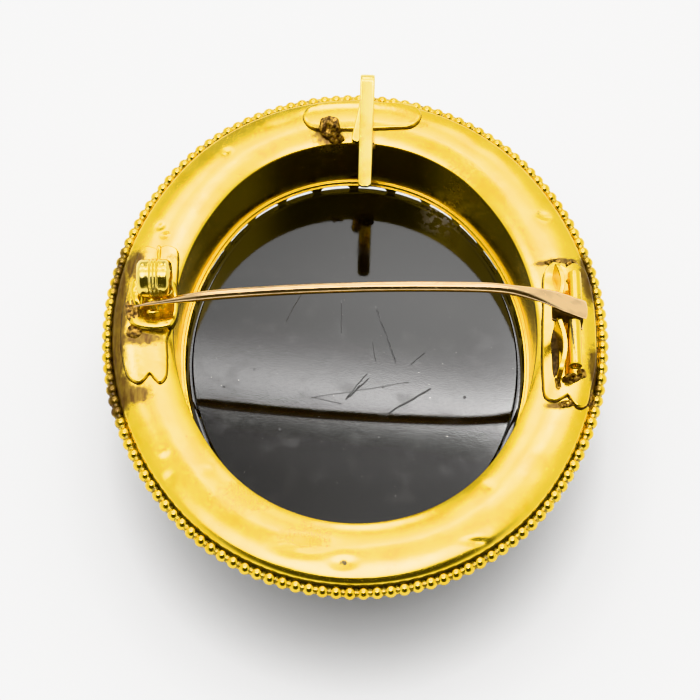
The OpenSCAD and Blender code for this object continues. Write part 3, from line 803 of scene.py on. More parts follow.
def border_profile():
    """Closed (inset, z) section: flange, shoulder, dome, well wall, collet wall and front cove."""
    bead_z, top = mm("bead_z"), mm("gallery_top")
    centre, shoulder_z = shoulder()
    tangent = math.degrees(math.atan2(shoulder_z - dome_z(), centre - CREST_INSET))
    rim_z = float(border_top(RIM_INSET))
    rim = math.degrees(math.asin((rim_z - dome_z()) / DOME_R))
    low = bead_z - mm("bead") / 2
    chord = np.array([FOOT_INSET - EDGE_INSET, FOOT_Z - low])
    down = np.array([chord[1], -chord[0]]) / np.linalg.norm(chord)
    cove = np.array([(FOOT_INSET + EDGE_INSET) / 2, (FOOT_Z + low) / 2])
    cove = cove + down * math.sqrt(COVE_R ** 2 - np.dot(chord, chord) / 4)
    a0 = math.degrees(math.atan2(FOOT_Z - cove[1], FOOT_INSET - cove[0]))
    a1 = math.degrees(math.atan2(low - cove[1], EDGE_INSET - cove[0]))
    back = arc((centre, shoulder_z), SHOULDER_R, 180, tangent, 7)
    back += arc((CREST_INSET, dome_z()), DOME_R, tangent, rim + RIM_PAST, 26)[1:]
    wall = [(RIM_INSET + (FOOT_INSET - RIM_INSET) * t, rim_z + (FOOT_Z - rim_z) * t)
            for t in WALL_STOPS]
    front = arc(cove, COVE_R, a0, a1, 16)[1:-1]
    window_top = top + mm("window_rise")
    flange = [
        (OUT_INSET, low, 0.06), (OUT_INSET, bead_z - 0.15, 0), (FLANGE_INSET, bead_z - 0.1, 0.04),
        (FLANGE_INSET, bead_z + 0.1, 0.06), (OUT_INSET, bead_z + 0.15, 0)]
    collet = [
        (FOOT_INSET, top + STEP_RISE, 0.05), (STEP_INSET, top + STEP_RISE, 0.06),
        (STEP_INSET, top + RAIL_RISE, 0.04), (COLLET_IN, top + RAIL_RISE, 0.06),
        (COLLET_IN, window_top, 0.02), (COLLET_OUT, window_top - WINDOW_SLOPE, 0.02)]

    def sharp(points):
        return [(x, z, 0) for x, z in points]

    return rounded(flange + sharp(back) + [(RIM_INSET, rim_z, mm("rim_soft"))] + sharp(wall)
                   + collet + sharp(front) + [(EDGE_INSET, low, 0.04)])


def border_dirt_and_shade(verts):
    """Dirt and painted shade in the crease beside the beads, fullest on the near side of the oval,
    where shade falls.
    """
    inset = Oval().inset(verts[:, 0], verts[:, 1])
    near = np.clip(-verts[:, 1] / 8 - 1, 0.25, 1)
    crease = np.exp(-(np.maximum(inset - OUT_INSET, 0) / CREASE_W) ** 2)
    return CREASE_DIRT_AND_SHADE * near * crease * (verts[:, 2] > CREASE_Z)


class BROOCH_OT_border(bpy.types.Operator):
    """Domed border with its well wall, steps and front moulding"""
    bl_idname = "brooch.border"
    bl_label = "Border"

    def execute(self, context):
        rings = round_oval(border_profile(), 600, CREST_INSET)
        shell = loft(battered(rings, mm("bead_z") + mm("crest_rise")), True)
        make_piece("border", [shell], "border", replaces="frame", angle=40, grime=border_dirt_and_shade)
        return {"FINISHED"}


class BROOCH_OT_collet(bpy.types.Operator):
    """Rim and lip under the gallery, which carry the stone, and a dark ring in the stone's finish
    beside the stone
    """
    bl_idname = "brooch.collet"
    bl_label = "Collet"

    def execute(self, context):
        sill = mm("gallery_top") - mm("window")
        profile = rounded([
            (COLLET_OUT, 0, 0.08), (COLLET_IN, 0, 0.08), (COLLET_IN, LIP_LOW, 0.05),
            (LIP_IN, LIP_LOW, 0.1), (LIP_IN, LIP_TOP, 0.1), (COLLET_IN, LIP_TOP, 0.05),
            (COLLET_IN, sill, 0.06), (COLLET_OUT, sill, 0.06)])
        # Dark ring in the stone's black finish, between the collet and the stone, across the
        # windows' lower part
        top, low = DARK_RING_TOP, DARK_RING_TOP - DARK_RING_DEPTH
        dirt = [(COLLET_IN - 0.2, low), (COLLET_IN + 0.14, low), (DARK_RING_IN, top - 0.12),
                (DARK_RING_IN + 0.06, top), (DARK_RING_IN - 0.2, top + 0.03), (COLLET_IN - 0.2, top - 0.05)]
        for name, outline, finish, angle in (("collet_rim", profile, "well", 40),
                                             ("collet_dirt", dirt, "stone", 60)):
            shell = loft(round_oval(outline, 420, COLLET_IN), True)
            make_piece(name, [shell], finish, angle=angle)
        return {"FINISHED"}


# Things strung along the oval

STRUNG = "strung along the oval"
PATH_STEPS = 2880


def strung_tree():
    """Geometry node tree that sets copies of a shape at even steps along a closed path."""
    tree = bpy.data.node_groups.new(STRUNG, "GeometryNodeTree")
    for label, kind in (("Path", "Geometry"), ("Shape", "Object"), ("Count", "Int"),
                        ("Seed", "Int"), ("Size spread", "Float"), ("Turn spread", "Float")):
        tree.interface.new_socket(label, in_out="INPUT", socket_type="NodeSocket" + kind)
    tree.interface.new_socket("Strung", in_out="OUTPUT", socket_type="NodeSocketGeometry")
    n = Tree(tree)
    given = n.add("NodeGroupInput").outputs
    curve = n.add("GeometryNodeMeshToCurve", {"Mesh": given["Path"]})
    even = n.add("GeometryNodeResampleCurve", {"Curve": curve, "Count": given["Count"]})
    shape = n.add("GeometryNodeObjectInfo", {"Object": given["Shape"]}).outputs["Geometry"]
    align = n.add("FunctionNodeAlignRotationToVector", {
        "Vector": n.add("GeometryNodeInputTangent")}, axis="X")
    size = n.add("FunctionNodeRandomValue", {
        2: n.math("SUBTRACT", 1.0, given["Size spread"]), 3: n.plus(1.0, given["Size spread"]),
        "Seed": given["Seed"]}).outputs[1]
    place = n.add("GeometryNodeInstanceOnPoints", {
        "Points": even, "Instance": shape, "Rotation": align, "Scale": size})
    least, most = (n.add("ShaderNodeVectorMath", {0: (sign,) * 3, "Scale": given["Turn spread"]},
                         operation="SCALE") for sign in (-1, 1))
    swing = n.add("FunctionNodeRandomValue", {0: least, 1: most, "Seed": given["Seed"]},
                  data_type="FLOAT_VECTOR")
    turned = n.add("GeometryNodeRotateInstances", {
        "Instances": place, "Rotation": n.add("FunctionNodeEulerToRotation", {0: swing})})
    n.add("NodeGroupOutput", {0: n.add("GeometryNodeRealizeInstances", {0: turned})})
    return tree


def strung(name, shape, count, phase, inset, z, seed=3, size_spread=0.0, turn_spread=0.0):
    """Plain mesh of copies of a shape strung along the oval at an inset."""
    tree = bpy.data.node_groups.get(STRUNG) or strung_tree()
    oval = Oval()
    x, y = oval.point(oval.turns(PATH_STEPS, inset, phase * PATH_STEPS / count), inset)
    steps = [(i, (i + 1) % PATH_STEPS) for i in range(PATH_STEPS)]
    path = new_mesh(name + " path", np.column_stack([x, y, np.full(PATH_STEPS, z)]), [], steps)
    carrier = linked(path.name, path)
    model = linked(name + " shape", new_mesh(name + " shape", *shape))
    modifier = carrier.modifiers.new("Strung", "NODES")
    modifier.node_group = tree
    values = {"Shape": model, "Count": count, "Seed": seed, "Size spread": size_spread,
              "Turn spread": turn_spread}
    for item in tree.interface.items_tree:
        if item.name in values:
            modifier[item.identifier] = values[item.name]
    graph = bpy.context.evaluated_depsgraph_get()
    result = bpy.data.meshes.new_from_object(carrier.evaluated_get(graph))
    carrier.modifiers.remove(modifier)
    bpy.data.objects.remove(carrier)
    bpy.data.objects.remove(model)
    return result


def bead_shape(d, segs=14, rings=8):
    """Ball with its poles along X."""
    r = d / 2
    verts = [(-r, 0, 0)]
    for a in np.arange(1, rings) * math.pi / rings:
        for t in np.arange(segs) * 2 * math.pi / segs:
            out = r * math.sin(a)
            verts.append((-r * math.cos(a), out * math.cos(t), out * math.sin(t)))
    verts.append((r, 0, 0))
    last = len(verts) - 1
    faces = [(0, 1 + (i + 1) % segs, 1 + i) for i in range(segs)]
    for k in range(rings - 2):
        faces += band(1 + k * segs, 1 + (k + 1) * segs, segs)
    a = last - segs
    faces += [(a + i, a + (i + 1) % segs, last) for i in range(segs)]
    return outward(verts, faces)


# Dirt and painted shade on the beads' inner side, over a short run of insets, and on the wire
# between them
BEAD_DIRT_AND_SHADE = 0.7
BEAD_DIRT_AND_SHADE_INSET = 0.42
BEAD_DIRT_AND_SHADE_FADE = 0.12
CORE_DIRT_AND_SHADE = 0.42


def bead_dirt_and_shade(verts):
    """Dirt and painted shade on the beads where they meet the border."""
    inset = Oval().inset(verts[:, 0], verts[:, 1])
    return BEAD_DIRT_AND_SHADE * np.clip((inset - BEAD_DIRT_AND_SHADE_INSET) / BEAD_DIRT_AND_SHADE_FADE, 0, 1)


class BROOCH_OT_beads(bpy.types.Operator):
    """Beads round the border and the wire that runs through them"""
    bl_idname = "brooch.beads"
    bl_label = "Bead wire"

    def execute(self, context):
        inset, z = mm("bead_inset"), mm("bead_z") + mm("bead_lift")
        mesh = strung("beads", bead_shape(mm("bead")), sizes().bead_count, 0.5, inset, z,
                      seed=7, size_spread=0.02, turn_spread=0.15)
        finish_piece(mesh, "beads", "bead", replaces="bead_wire", grime=bead_dirt_and_shade)
        core = mm("bead_core") / 2
        profile = [(inset + core * math.cos(a), z + core * math.sin(a))
                   for a in np.arange(12) * math.pi / 6]
        make_piece("bead_core", [loft(round_oval(profile, 400, 0.0), True)], "bead",
                   grime=lambda verts: np.full(len(verts), CORE_DIRT_AND_SHADE))
        return {"FINISHED"}


# Radius of the windows' corners, and where the first post stands, in steps from +X
WINDOW_R = 0.55
POST_PHASE = 0.38


def post_shape(width, height, depth):
    """Post with hollowed corners, so that the windows beside it have rounded ends."""
    half = [(-height / 2 + WINDOW_R * (1 - math.cos(b)), width / 2 + WINDOW_R * (1 - math.sin(b)))
            for b in np.radians(np.linspace(0, 90, 6))]
    levels = half + [(0.0, width / 2)] + [(-z, w) for z, w in reversed(half)]
    sections = [squircle(2 * w, depth, 7, 20) for _, w in levels]
    centres = [(0, 0, z) for z, _ in levels]
    return sweep(centres, [(1, 0, 0)], [(0, 1, 0)], sections)


class BROOCH_OT_gallery(bpy.types.Operator):
    """Posts between the gallery's windows"""
    bl_idname = "brooch.gallery"
    bl_label = "Gallery"

    def execute(self, context):
        height = mm("window") + mm("window_rise")
        z = mm("gallery_top") + mm("window_rise") - height / 2
        shape = post_shape(mm("post"), height + WINDOW_SLOPE, COLLET_IN - COLLET_OUT - GAP)
        mesh = strung("gallery_posts", shape, sizes().window_count, POST_PHASE,
                      (COLLET_IN + COLLET_OUT) / 2, z)
        finish_piece(mesh, "gallery_posts", "well", angle=50)
        return {"FINISHED"}


class BROOCH_OT_stone(bpy.types.Operator):
    """Finish of the black stone, whose shape is the solid's own"""
    bl_idname = "brooch.stone"
    bl_label = "Stone"

    def execute(self, context):
        coat("cameo", "stone")
        return {"FINISHED"}


# Soldered plates

def flowing(points, step=0.2):
    """Smooth closed outline through points; a point given twice is a corner."""
    out = []
    n = len(points)
    p = [np.array(q, float) for q in points]
    for i in range(n):
        a, b, c, d = p[i - 1], p[i], p[(i + 1) % n], p[(i + 2) % n]
        far = np.linalg.norm(c - b)
        if far < 1e-6:
            continue
        for t in np.arange(max(2, round(far / step))) / max(2, round(far / step)):
            out.append(tuple(0.5 * (2 * b + (c - a) * t + (2 * a - 5 * b + 4 * c - d) * t ** 2
                                    + (3 * b - a - 3 * c + d) * t ** 3)))
    return out


def placed(points, x, y, turn=0.0):
    """Points turned about the origin and moved to a place."""
    c, s = math.cos(turn), math.sin(turn)
    return [(x + u * c - v * s, y + u * s + v * c) for u, v in points]


def kept_in(points):
    """Outline with the points outside the border's edge brought back to it."""
    oval = Oval()
    out = []
    for x, y in points:
        if float(oval.inset(x, y)) < PLATE_OUT_INSET:
            centre = Vector((-math.copysign(oval.side_c, x), 0))
            reach = oval.side_r - PLATE_OUT_INSET
            x, y = centre + (Vector((x, y)) - centre).normalized() * reach
        out.append((x, y))
    return out


def on_border(x, y):
    """Height of the border's back under a place, where a plate begins."""
    return border_top(Oval().inset(x, y)) + GAP


def plate_top(x, y):
    """Height of a plate's upper face."""
    return on_border(x, y) + mm("plate")


def plate_top_z():
    """Height of a plate's upper face at the border's crest."""
    return mm("bead_z") + mm("crest_rise") + GAP + mm("plate")


def border_plate(outline, dish=None):
    """Plate of the usual thickness, soldered to the border's back."""
    return fitted_plate(outline, on_border, mm("plate"), PLATE_EDGE_R, dish=dish)


def lift(shell):
    """Raises a shell from the border onto a plate."""
    shell[0][:, 2] += mm("plate")
    return shell


# Unevenness of a seam's width, and its height as a share of its radius
SEAM_UNEVEN = 0.55
SEAM_RISE = 0.9


def seam(outline, r, seed):
    """Uneven line of solder that runs along an outline on the border."""
    ring = np.array(spaced(outline, 0.18))
    ahead = np.roll(ring, -1, axis=0) - np.roll(ring, 1, axis=0)
    ahead /= np.linalg.norm(ahead, axis=1, keepdims=True) + 1e-9
    out = []
    for (x, y), (dx, dy) in zip(ring, ahead):
        size = r * (1 + SEAM_UNEVEN * noise.noise(Vector((x * 1.3, y * 1.3, seed))))
        z = float(on_border(x, y))
        out.append([(x - dy * size * math.cos(a), y + dx * size * math.cos(a),
                     z + size * SEAM_RISE * math.sin(a)) for a in np.arange(8) * math.pi / 4])
    return loft(out, True)


# Outlines of the plates and the catch's pad, from the middle of their fitting
CATCH_PLATE = [
    (-0.23, 4.7), (-0.23, 4.7), (0.6, 5.1), (1.45, 4.9), (1.7, 4.3), (1.7, 2.4), (1.6, 0),
    (1.3, -2.5), (0.95, -4.5), (1.05, -6.5), (1.05, -8.2), (0.6, -9.0), (0.1, -8.7),
    (-0.4, -8.05), (-0.4, -8.05), (-1.0, -8.8), (-1.55, -8.95), (-2.4, -8.1), (-2.95, -5.8),
    (-3.1, -4.3), (-3.05, -1.5), (-2.7, 0.6), (-2.5, 1.9), (-2.0, 4.0), (-1.45, 5.05),
    (-0.6, 4.95),
]
CATCH_PAD = [
    (1.3, 1.05), (1.7, 0.5), (1.9, -1.1), (1.9, -2.3), (1.65, -3.3), (1.1, -3.85),
    (-0.45, -4.0), (-1.75, -3.65), (-2.4, -2.9), (-2.6, -1.0), (-2.4, 0.3), (-1.6, 1.1),
    (0.0, 1.35),
]
HINGE_PLATE = [
    (-0.4, 5.75), (-0.4, 5.75), (0.45, 6.35), (1.55, 5.5), (2.0, 2.9), (2.1, -0.75),
    (1.95, -3.8), (1.4, -6.3), (1.0, -7.9), (0.15, -8.25), (-0.65, -7.2), (-0.65, -7.2),
    (-1.7, -7.85), (-2.6, -7.45), (-2.75, -5.9), (-2.7, -3.0), (-2.6, 0.0), (-2.5, 2.2),
    (-2.4, 4.85), (-1.6, 6.25), (-0.75, 6.0),
]
CATCH_Y = 2.75
CATCH_INSET = 4.4
STRIP_W = 2.9
STRIP_T = 0.45
CURL_R = 1.8
PAD_T = 0.5
SINK = 0.05
LIP_ANGLE = 190
HEEL_ANGLE = -120
# Hollows along the curl's outer face: depth, distance from its middle, width
FLUTES = [(0.05, 0.75, 0.30), (0.06, 0.0, 0.06), (0.09, 0.32, 0.07)]
# Fall of the curl's outer face towards its sides, and rounding of its edges over a width
CURL_CROWN = 0.10
CURL_EDGE = 0.26
CURL_EDGE_W = 0.5
# Hollow in the pad, from the catch's middle: place, half sizes, depth; its base in the plate
PAD_HOLLOW = (-0.3, -1.9)
PAD_HOLLOW_SIZE = (1.5, 1.0)
PAD_HOLLOW_DEPTH = 0.30
PAD_SINK = 0.3
# Shares of the foot's size at even steps across it
FOOT_SHARES = (0.25, 0.62, 0.85, 0.96, 1, 1, 1, 1, 1, 0.96, 0.85, 0.62, 0.25)


def curl_shell(x, y, z):
    """Fluted strip curled into a C, with a double rib along its middle."""
    half = STRIP_W / 2
    across = np.linspace(-half, half, 61)

    def outer(u):
        a = abs(u)
        hollows = sum(depth * math.exp(-((a - at) / width) ** 2) for depth, at, width in FLUTES)
        edge = max((a - half + CURL_EDGE_W) / CURL_EDGE_W, 0)
        return CURL_R - hollows - CURL_CROWN * (a / half) ** 2 - CURL_EDGE * edge ** 2.5

    inner = CURL_R - STRIP_T
    profile = [(u, outer(u)) for u in across]
    profile += [(half - 0.1, inner - 0.03), (0.7, inner), (0.0, inner), (-0.7, inner),
                (-half + 0.1, inner - 0.03)]
    middle = CURL_R - STRIP_T / 2
    rings = []
    stops = np.linspace(HEEL_ANGLE, LIP_ANGLE, 72)
    for i, a in enumerate(np.radians(stops)):
        end = min(i, len(stops) - 1 - i) / 3
        thin = min(1.0, 0.45 + 0.55 * end)
        narrow = min(1.0, 0.90 + 0.10 * end)
        ring = [(u, middle + (r - middle) * thin) for u, r in profile]
        rings.append([(x + u * narrow, y + r * math.cos(a), z + r * math.sin(a)) for u, r in ring])
    return loft(rings)


def catch_x():
    return -Oval().side_x(CATCH_Y, CATCH_INSET)


def catch_shells():
    """Shells of the catch without its curl, the curl, and the plate's outline."""
    cx = catch_x()
    top = plate_top_z()
    outline = kept_in(placed(flowing(CATCH_PLATE), cx, CATCH_Y))
    pad_x, pad_y = cx + PAD_HOLLOW[0], CATCH_Y + PAD_HOLLOW[1]
    wide, high = PAD_HOLLOW_SIZE

    def level(x, y):
        return np.full(np.shape(x), top - PAD_SINK)

    def hollow(x, y):
        bowl = PAD_HOLLOW_DEPTH * np.exp(-((x - pad_x) / wide) ** 2 - ((y - pad_y) / high) ** 2)
        return bowl + 0.02 * wobble(np.stack([x, y, 0 * x], axis=-1), 0.5, 8)

    pad = fitted_plate(placed(flowing(CATCH_PAD), cx, CATCH_Y), level, PAD_T + 0.34, 0.30,
                       step=0.16, dish=hollow)
    # Tail: places along Y, widths and heights, from under the curl to its rounded end
    ys = np.concatenate([np.linspace(-0.2, 4.6, 16), [4.75, 4.88, 4.96, 5.0]])
    widths = np.concatenate([np.full(13, 0.34), [0.4, 0.44, 0.44, 0.42, 0.36, 0.22, 0.08]])
    rise = np.concatenate([np.linspace(0.55, 0.22, 8), np.full(5, 0.22),
                           [0.3, 0.36, 0.38, 0.38, 0.36, 0.28, 0.2]])
    centres = [(cx, CATCH_Y + v, float(plate_top(cx, CATCH_Y + v)) - 0.1) for v in ys]
    sections = [squircle(w, 2 * h, 3, 16) for w, h in zip(widths, rise)]
    tail = sweep(centres, [(1, 0, 0)], [(0, 0, 1)], sections)
    centres = [(cx + u, CATCH_Y - 1.15, top + PAD_T + 0.02) for u in np.linspace(-0.75, 0.75, 13)]
    sections = [squircle(0.62 * s, 0.5 * s, 2.2, 14) for s in FOOT_SHARES]
    foot = sweep(centres, [(0, 1, 0)], [(0, 0, 1)], sections)
    haunch = blob(cx - 1.75, CATCH_Y - 0.35, 0.62, 1.5, 0.55, 5.0, lambda x, y: top + PAD_T - 0.1,
                  0.15, 0.05)
    bump = blob(cx - 0.35, CATCH_Y - 2.15, 0.62, 0.30, 0.22, 6.0, lambda x, y: top + PAD_T - 0.25,
                0.0, 0.1)
    curl = curl_shell(cx, CATCH_Y, top + PAD_T + CURL_R - SINK)
    return [border_plate(outline), pad, tail, foot, haunch, bump], curl, outline


class BROOCH_OT_catch(bpy.types.Operator):
    """Catch: lobed plate, pad, fluted curl and tail"""
    bl_idname = "brooch.catch"
    bl_label = "Catch"

    def execute(self, context):
        shells, curl, outline = catch_shells()
        cx, pad_top = catch_x(), plate_top_z() + PAD_T
        make_piece("catch_body", shells, "fitting", replaces="catch", angle=32)
        make_piece("catch_curl", [curl], "pale", angle=32)
        make_piece("catch_seam", [seam(outline, 0.07, 1.0)], "seam")
        pits = [(0.2, 0.3, 0.2), (-0.1, -0.4, 0.22), (0.3, -0.1, 0.16), (-0.3, 0.6, 0.18),
                (0.4, -0.6, 0.14)]
        make_piece("catch_solder", [
            blob(cx - 2.05, CATCH_Y - 2.0, 0.62, 1.25, 0.16, 2.0, lambda x, y: pad_top - 0.02,
                 0.1, 0.4, pits),
            blob(cx - 1.9, CATCH_Y - 3.9, 0.75, 0.7, 0.22, 4.0, plate_top, 0.3, 0.3)], "solder")
        return {"FINISHED"}


HINGE_Y = -1.2
HINGE_INSET = 2.9
AXIS_RISE = 3.45
HINGE_TURN = math.radians(-3.3)
KNUCKLE_D = 1.2
RIVET_HOLE = 0.52
UPPER_L = 3.0
LOWER_L = 4.1
STOP_T = 0.42
STOP_X = -1.45
STOP_BULGE = 0.45
STOP_EXTRA = 0.8
BLOCK_W = 1.9
BLOCK_T = 1.55
BLOCK_SLOPE_DEG = 31
BLOCK_SLOPE = math.radians(BLOCK_SLOPE_DEG)
BLOCK_BACK = 0.8
BLOCK_FRONT = 2.5
PLAY = 0.05
BLOCK_LEFT = -2.05
BLOCK_RIGHT = 0.82
BLOCK_LOW = 1.2
# The strip's base under the plate, and its height under the block; rounding of its ends
STOP_SINK = 0.6
STOP_MID = 0.28
STOP_END_R = 0.35
# From the hinge's middle to the inner end of each knuckle
KNUCKLE_GAP = BLOCK_W / 2 + PLAY
# How far the lower knuckle reaches below its row, and how far each knuckle lies off the axis
LOWER_REACH = 0.3
UPPER_X = 0.08
LOWER_X = -0.14
# Hollow in the plate's upper lobe: place, half sizes, depth
HINGE_CUP = (-1.5, 4.9)
CUP_W, CUP_H = 0.7, 0.9
CUP_DEPTH = 0.14
# Lumps of solder: x, y, half sizes, height, turn, and whether they lie on the plate
HINGE_LUMPS = [
    (0.2, 6.35, 0.6, 0.35, 0.30, 0.1, False), (1.75, 4.7, 0.30, 1.3, 0.25, 0.22, False),
    (-1.5, 6.45, 0.8, 0.3, 0.25, 0.1, False),
    (-0.35, -KNUCKLE_GAP - LOWER_L - 0.65, 0.85, 0.5, 0.45, 0.2, True),
    (0.6, -KNUCKLE_GAP - LOWER_L, 0.45, 0.6, 0.3, 0.3, True),
    (-1.5, -6.2, 0.3, 0.7, 0.22, 0.0, True), (-0.8, -8.0, 0.8, 0.4, 0.25, 0.2, False),
    (1.5, -7.2, 0.4, 0.8, 0.25, -0.3, False),
    (0.1, KNUCKLE_GAP + UPPER_L + 0.3, 0.55, 0.45, 0.6, 0.0, True),
]


def hinge_x():
    return Oval().side_x(HINGE_Y, HINGE_INSET)


def at_hinge(points):
    """Points from the hinge's own axes, with the rivet along Y, to the brooch's."""
    c, s = math.cos(HINGE_TURN), math.sin(HINGE_TURN)
    p = np.asarray(points, float)
    out = p.copy()
    out[..., 0] = hinge_x() + p[..., 0] * c - p[..., 1] * s
    out[..., 1] = HINGE_Y + p[..., 0] * s + p[..., 1] * c
    return out


def moved(shell):
    """A shell from the hinge's own axes to the brooch's."""
    return at_hinge(shell[0]), shell[1]


def knuckle_shell(x, y0, y1, z, seed):
    """Worn tube round the rivet, from y0 to y1."""
    soft = 0.07
    profile = rounded([(KNUCKLE_D / 2, y0, soft), (KNUCKLE_D / 2, y1, soft),
                       (RIVET_HOLE / 2, y1, 0.03), (RIVET_HOLE / 2, y0, 0.03)])
    verts, faces = revolve(spaced(profile, 0.4), 36, lambda a, b, y: (a, y, z + b))
    lump = wobble(verts, 1.1, seed)
    verts[:, 2] += 0.015 * lump
    verts[:, 0] += 0.012 * lump + x
    return moved((verts, faces))


def hinge_shells():
    """Shells of the hinge's plate, standing strip and knuckles, and the plate's outline."""
    axis_z = mm("bead_z") + AXIS_RISE
    top = plate_top_z()
    outline = kept_in(placed(flowing(HINGE_PLATE), hinge_x(), HINGE_Y, HINGE_TURN))
    (cup_x, cup_y), = placed([HINGE_CUP], hinge_x(), HINGE_Y, HINGE_TURN)

    def cup(x, y):
        return CUP_DEPTH * np.exp(-((x - cup_x) / CUP_W) ** 2 - ((y - cup_y) / CUP_H) ** 2)

    # The strip is low under the block and high behind the knuckles
    gap = KNUCKLE_GAP
    low, mid, high = top - STOP_SINK, top + STOP_MID, axis_z + KNUCKLE_D / 2
    y0, y1 = -gap - LOWER_L - STOP_EXTRA, gap + UPPER_L + STOP_EXTRA
    ys = [y0, y0 + 0.04, y0 + 0.12, *np.linspace(y0 + 0.5, -gap - 0.15, 9)]
    ys += [-gap - 0.06, -gap - 0.01, -gap + 0.02, -gap + 0.1, -0.4, 0.4]
    ys += [gap - 0.1, gap - 0.02, gap + 0.01, gap + 0.06, gap + 0.15]
    ys += [*np.linspace(gap + 0.5, y1 - 0.5, 6), y1 - 0.12, y1 - 0.04, y1]
    rings = []
    for v in ys:
        end = min(v - y0, y1 - v)
        crown = mid if abs(v) < gap else high
        if abs(v) >= gap:
            crown -= 0.05 * abs(noise.noise(Vector((v * 0.9, 3.0, 0.0))))
            crown -= STOP_END_R * max(0, 1 - end / STOP_END_R) ** 2
        section = squircle(STOP_T * (0.78 if end < 0.03 else 1.0), crown - low, 9, 28)
        run = (v - y0) / (-gap - y0) if v < 0 else (y1 - v) / (y1 - gap)
        x = STOP_X + STOP_BULGE * math.sin(math.pi * min(max(run, 0), 1))
        rings.append([(x + a, v, (crown + low) / 2 + b) for a, b in section])
    upper = knuckle_shell(UPPER_X, gap, gap + UPPER_L, axis_z, 5)
    lower = knuckle_shell(LOWER_X, -gap - LOWER_L - LOWER_REACH, -gap, axis_z, 6)
    return [border_plate(outline, cup), moved(loft(rings)), upper, lower], outline


class BROOCH_OT_hinge(bpy.types.Operator):
    """Hinge: lobed plate, standing strip, knuckles, rivet, solder and a painted shadow beside the
    strip
    """
    bl_idname = "brooch.hinge"
    bl_label = "Hinge"

    def execute(self, context):
        shells, outline = hinge_shells()
        make_piece("hinge_body", shells, "fitting", replaces="hinge", angle=32)
        # Painted shadow: a dark blob in the seam's finish on the plate, beside the standing strip
        px, py = at_hinge([-1.6, -3.1, 0])[:2]
        shadow = lift(blob(px, py, 0.42, 3.1, 0.14, 15.0, on_border, -0.08, 0.15))
        make_piece("hinge_seam", [seam(outline, 0.11, 9.0), shadow], "seam")
        lumps = []
        for i, (x, y, rx, ry, height, turn, on_plate) in enumerate(HINGE_LUMPS):
            px, py = at_hinge([x, y, 0])[:2]
            lump = blob(px, py, rx, ry, height, 11.0 + i, on_border, turn, 0.4,
                        ((0.2, 0.2, 0.25), (-0.3, -0.3, 0.2)))
            lumps.append(lift(lump) if on_plate else lump)
        make_piece("hinge_solder", lumps, "solder")
        coat("hinge_rivet", "rose")
        return {"FINISHED"}


BEND_R = 13.0
BOW_R = 120.0
TAPER_START = 32.55
TAPER_L = 6.0
POINT_D = 0.12
SHANK_DROP = 0.05
STRAP_W = 1.86
STRAP_T = 0.5
# Where the strap begins to turn into the shank, and over what length
STRAP_START = 1.0
STRAP_L = 6.0
# The pin lies beside the hinge's middle and leans a little in plan
PIN_Y = 0.20
PIN_LEAN = 0.006
# The tip is bent down and aside over the last part of the pin
TIP_START = 30.0
TIP_L = 8.0
TIP_DROP = 0.3
TIP_ASIDE = 0.25


def ease(t):
    """Smooth step from 0 to 1."""
    t = min(max(t, 0), 1)
    return t * t * (3 - 2 * t)


def pin_path():
    """Centre line of the strap and shank in the hinge's XZ plane, from the cut end to the point:
    x, z, direction, width, height, squareness."""
    d = mm("pin")
    ux, uz = math.cos(BLOCK_SLOPE), -math.sin(BLOCK_SLOPE)
    vx, vz = math.sin(BLOCK_SLOPE), math.cos(BLOCK_SLOPE)
    shank_v = (BLOCK_T - d) / 2 - SHANK_DROP
    strap_v = BLOCK_T / 2 - STRAP_T / 2
    rows = []

    def section(t, end=1.0):
        return ((STRAP_W + (d - STRAP_W) * t) * end, (STRAP_T + (d - STRAP_T) * t) * end,
                2.1 - 0.1 * ease(t * 1.3))

    for u in [BLOCK_BACK, BLOCK_BACK - 0.03, BLOCK_BACK - 0.1, *np.linspace(0.4, -BLOCK_FRONT, 14)]:
        t = ease((-u - STRAP_START) / STRAP_L)
        end = {BLOCK_BACK: 0.86, BLOCK_BACK - 0.03: 0.95}.get(u, 1.0)
        v = strap_v + (shank_v - strap_v) * t
        rows.append((u * ux + v * vx, u * uz + v * vz, math.pi - BLOCK_SLOPE, *section(t, end)))
    cx = -BLOCK_FRONT * ux + (shank_v - BEND_R) * vx
    cz = -BLOCK_FRONT * uz + (shank_v - BEND_R) * vz
    start = 90 - BLOCK_SLOPE_DEG
    for a in np.radians(np.linspace(start, 90, 16)[1:]):
        t = ease((BLOCK_FRONT + (a - math.radians(start)) * BEND_R - STRAP_START) / STRAP_L)
        r = BEND_R + (strap_v - shank_v) * (1 - t)
        rows.append((cx + r * math.cos(a), cz + r * math.sin(a), a + math.pi / 2, *section(t)))
    bow = math.asin((TAPER_START + cx) / BOW_R)
    for a in np.linspace(0, bow, 30)[1:]:
        rows.append((cx - BOW_R * math.sin(a), cz + BEND_R - BOW_R + BOW_R * math.cos(a),
                     math.pi + a, d, d, 2))
    x, z = rows[-1][:2]
    for s in (0.08, 0.2, 0.35, 0.5, 0.65, 0.8, 0.9, 0.96, 0.99, 1.0):
        size = d + (POINT_D - d) * s if s < 0.99 else POINT_D * (0.8 if s < 1 else 0.3)
        rows.append((x - TAPER_L * s * math.cos(bow), z - TAPER_L * s * math.sin(bow),
                     math.pi + bow, size, size, 2))
    return rows


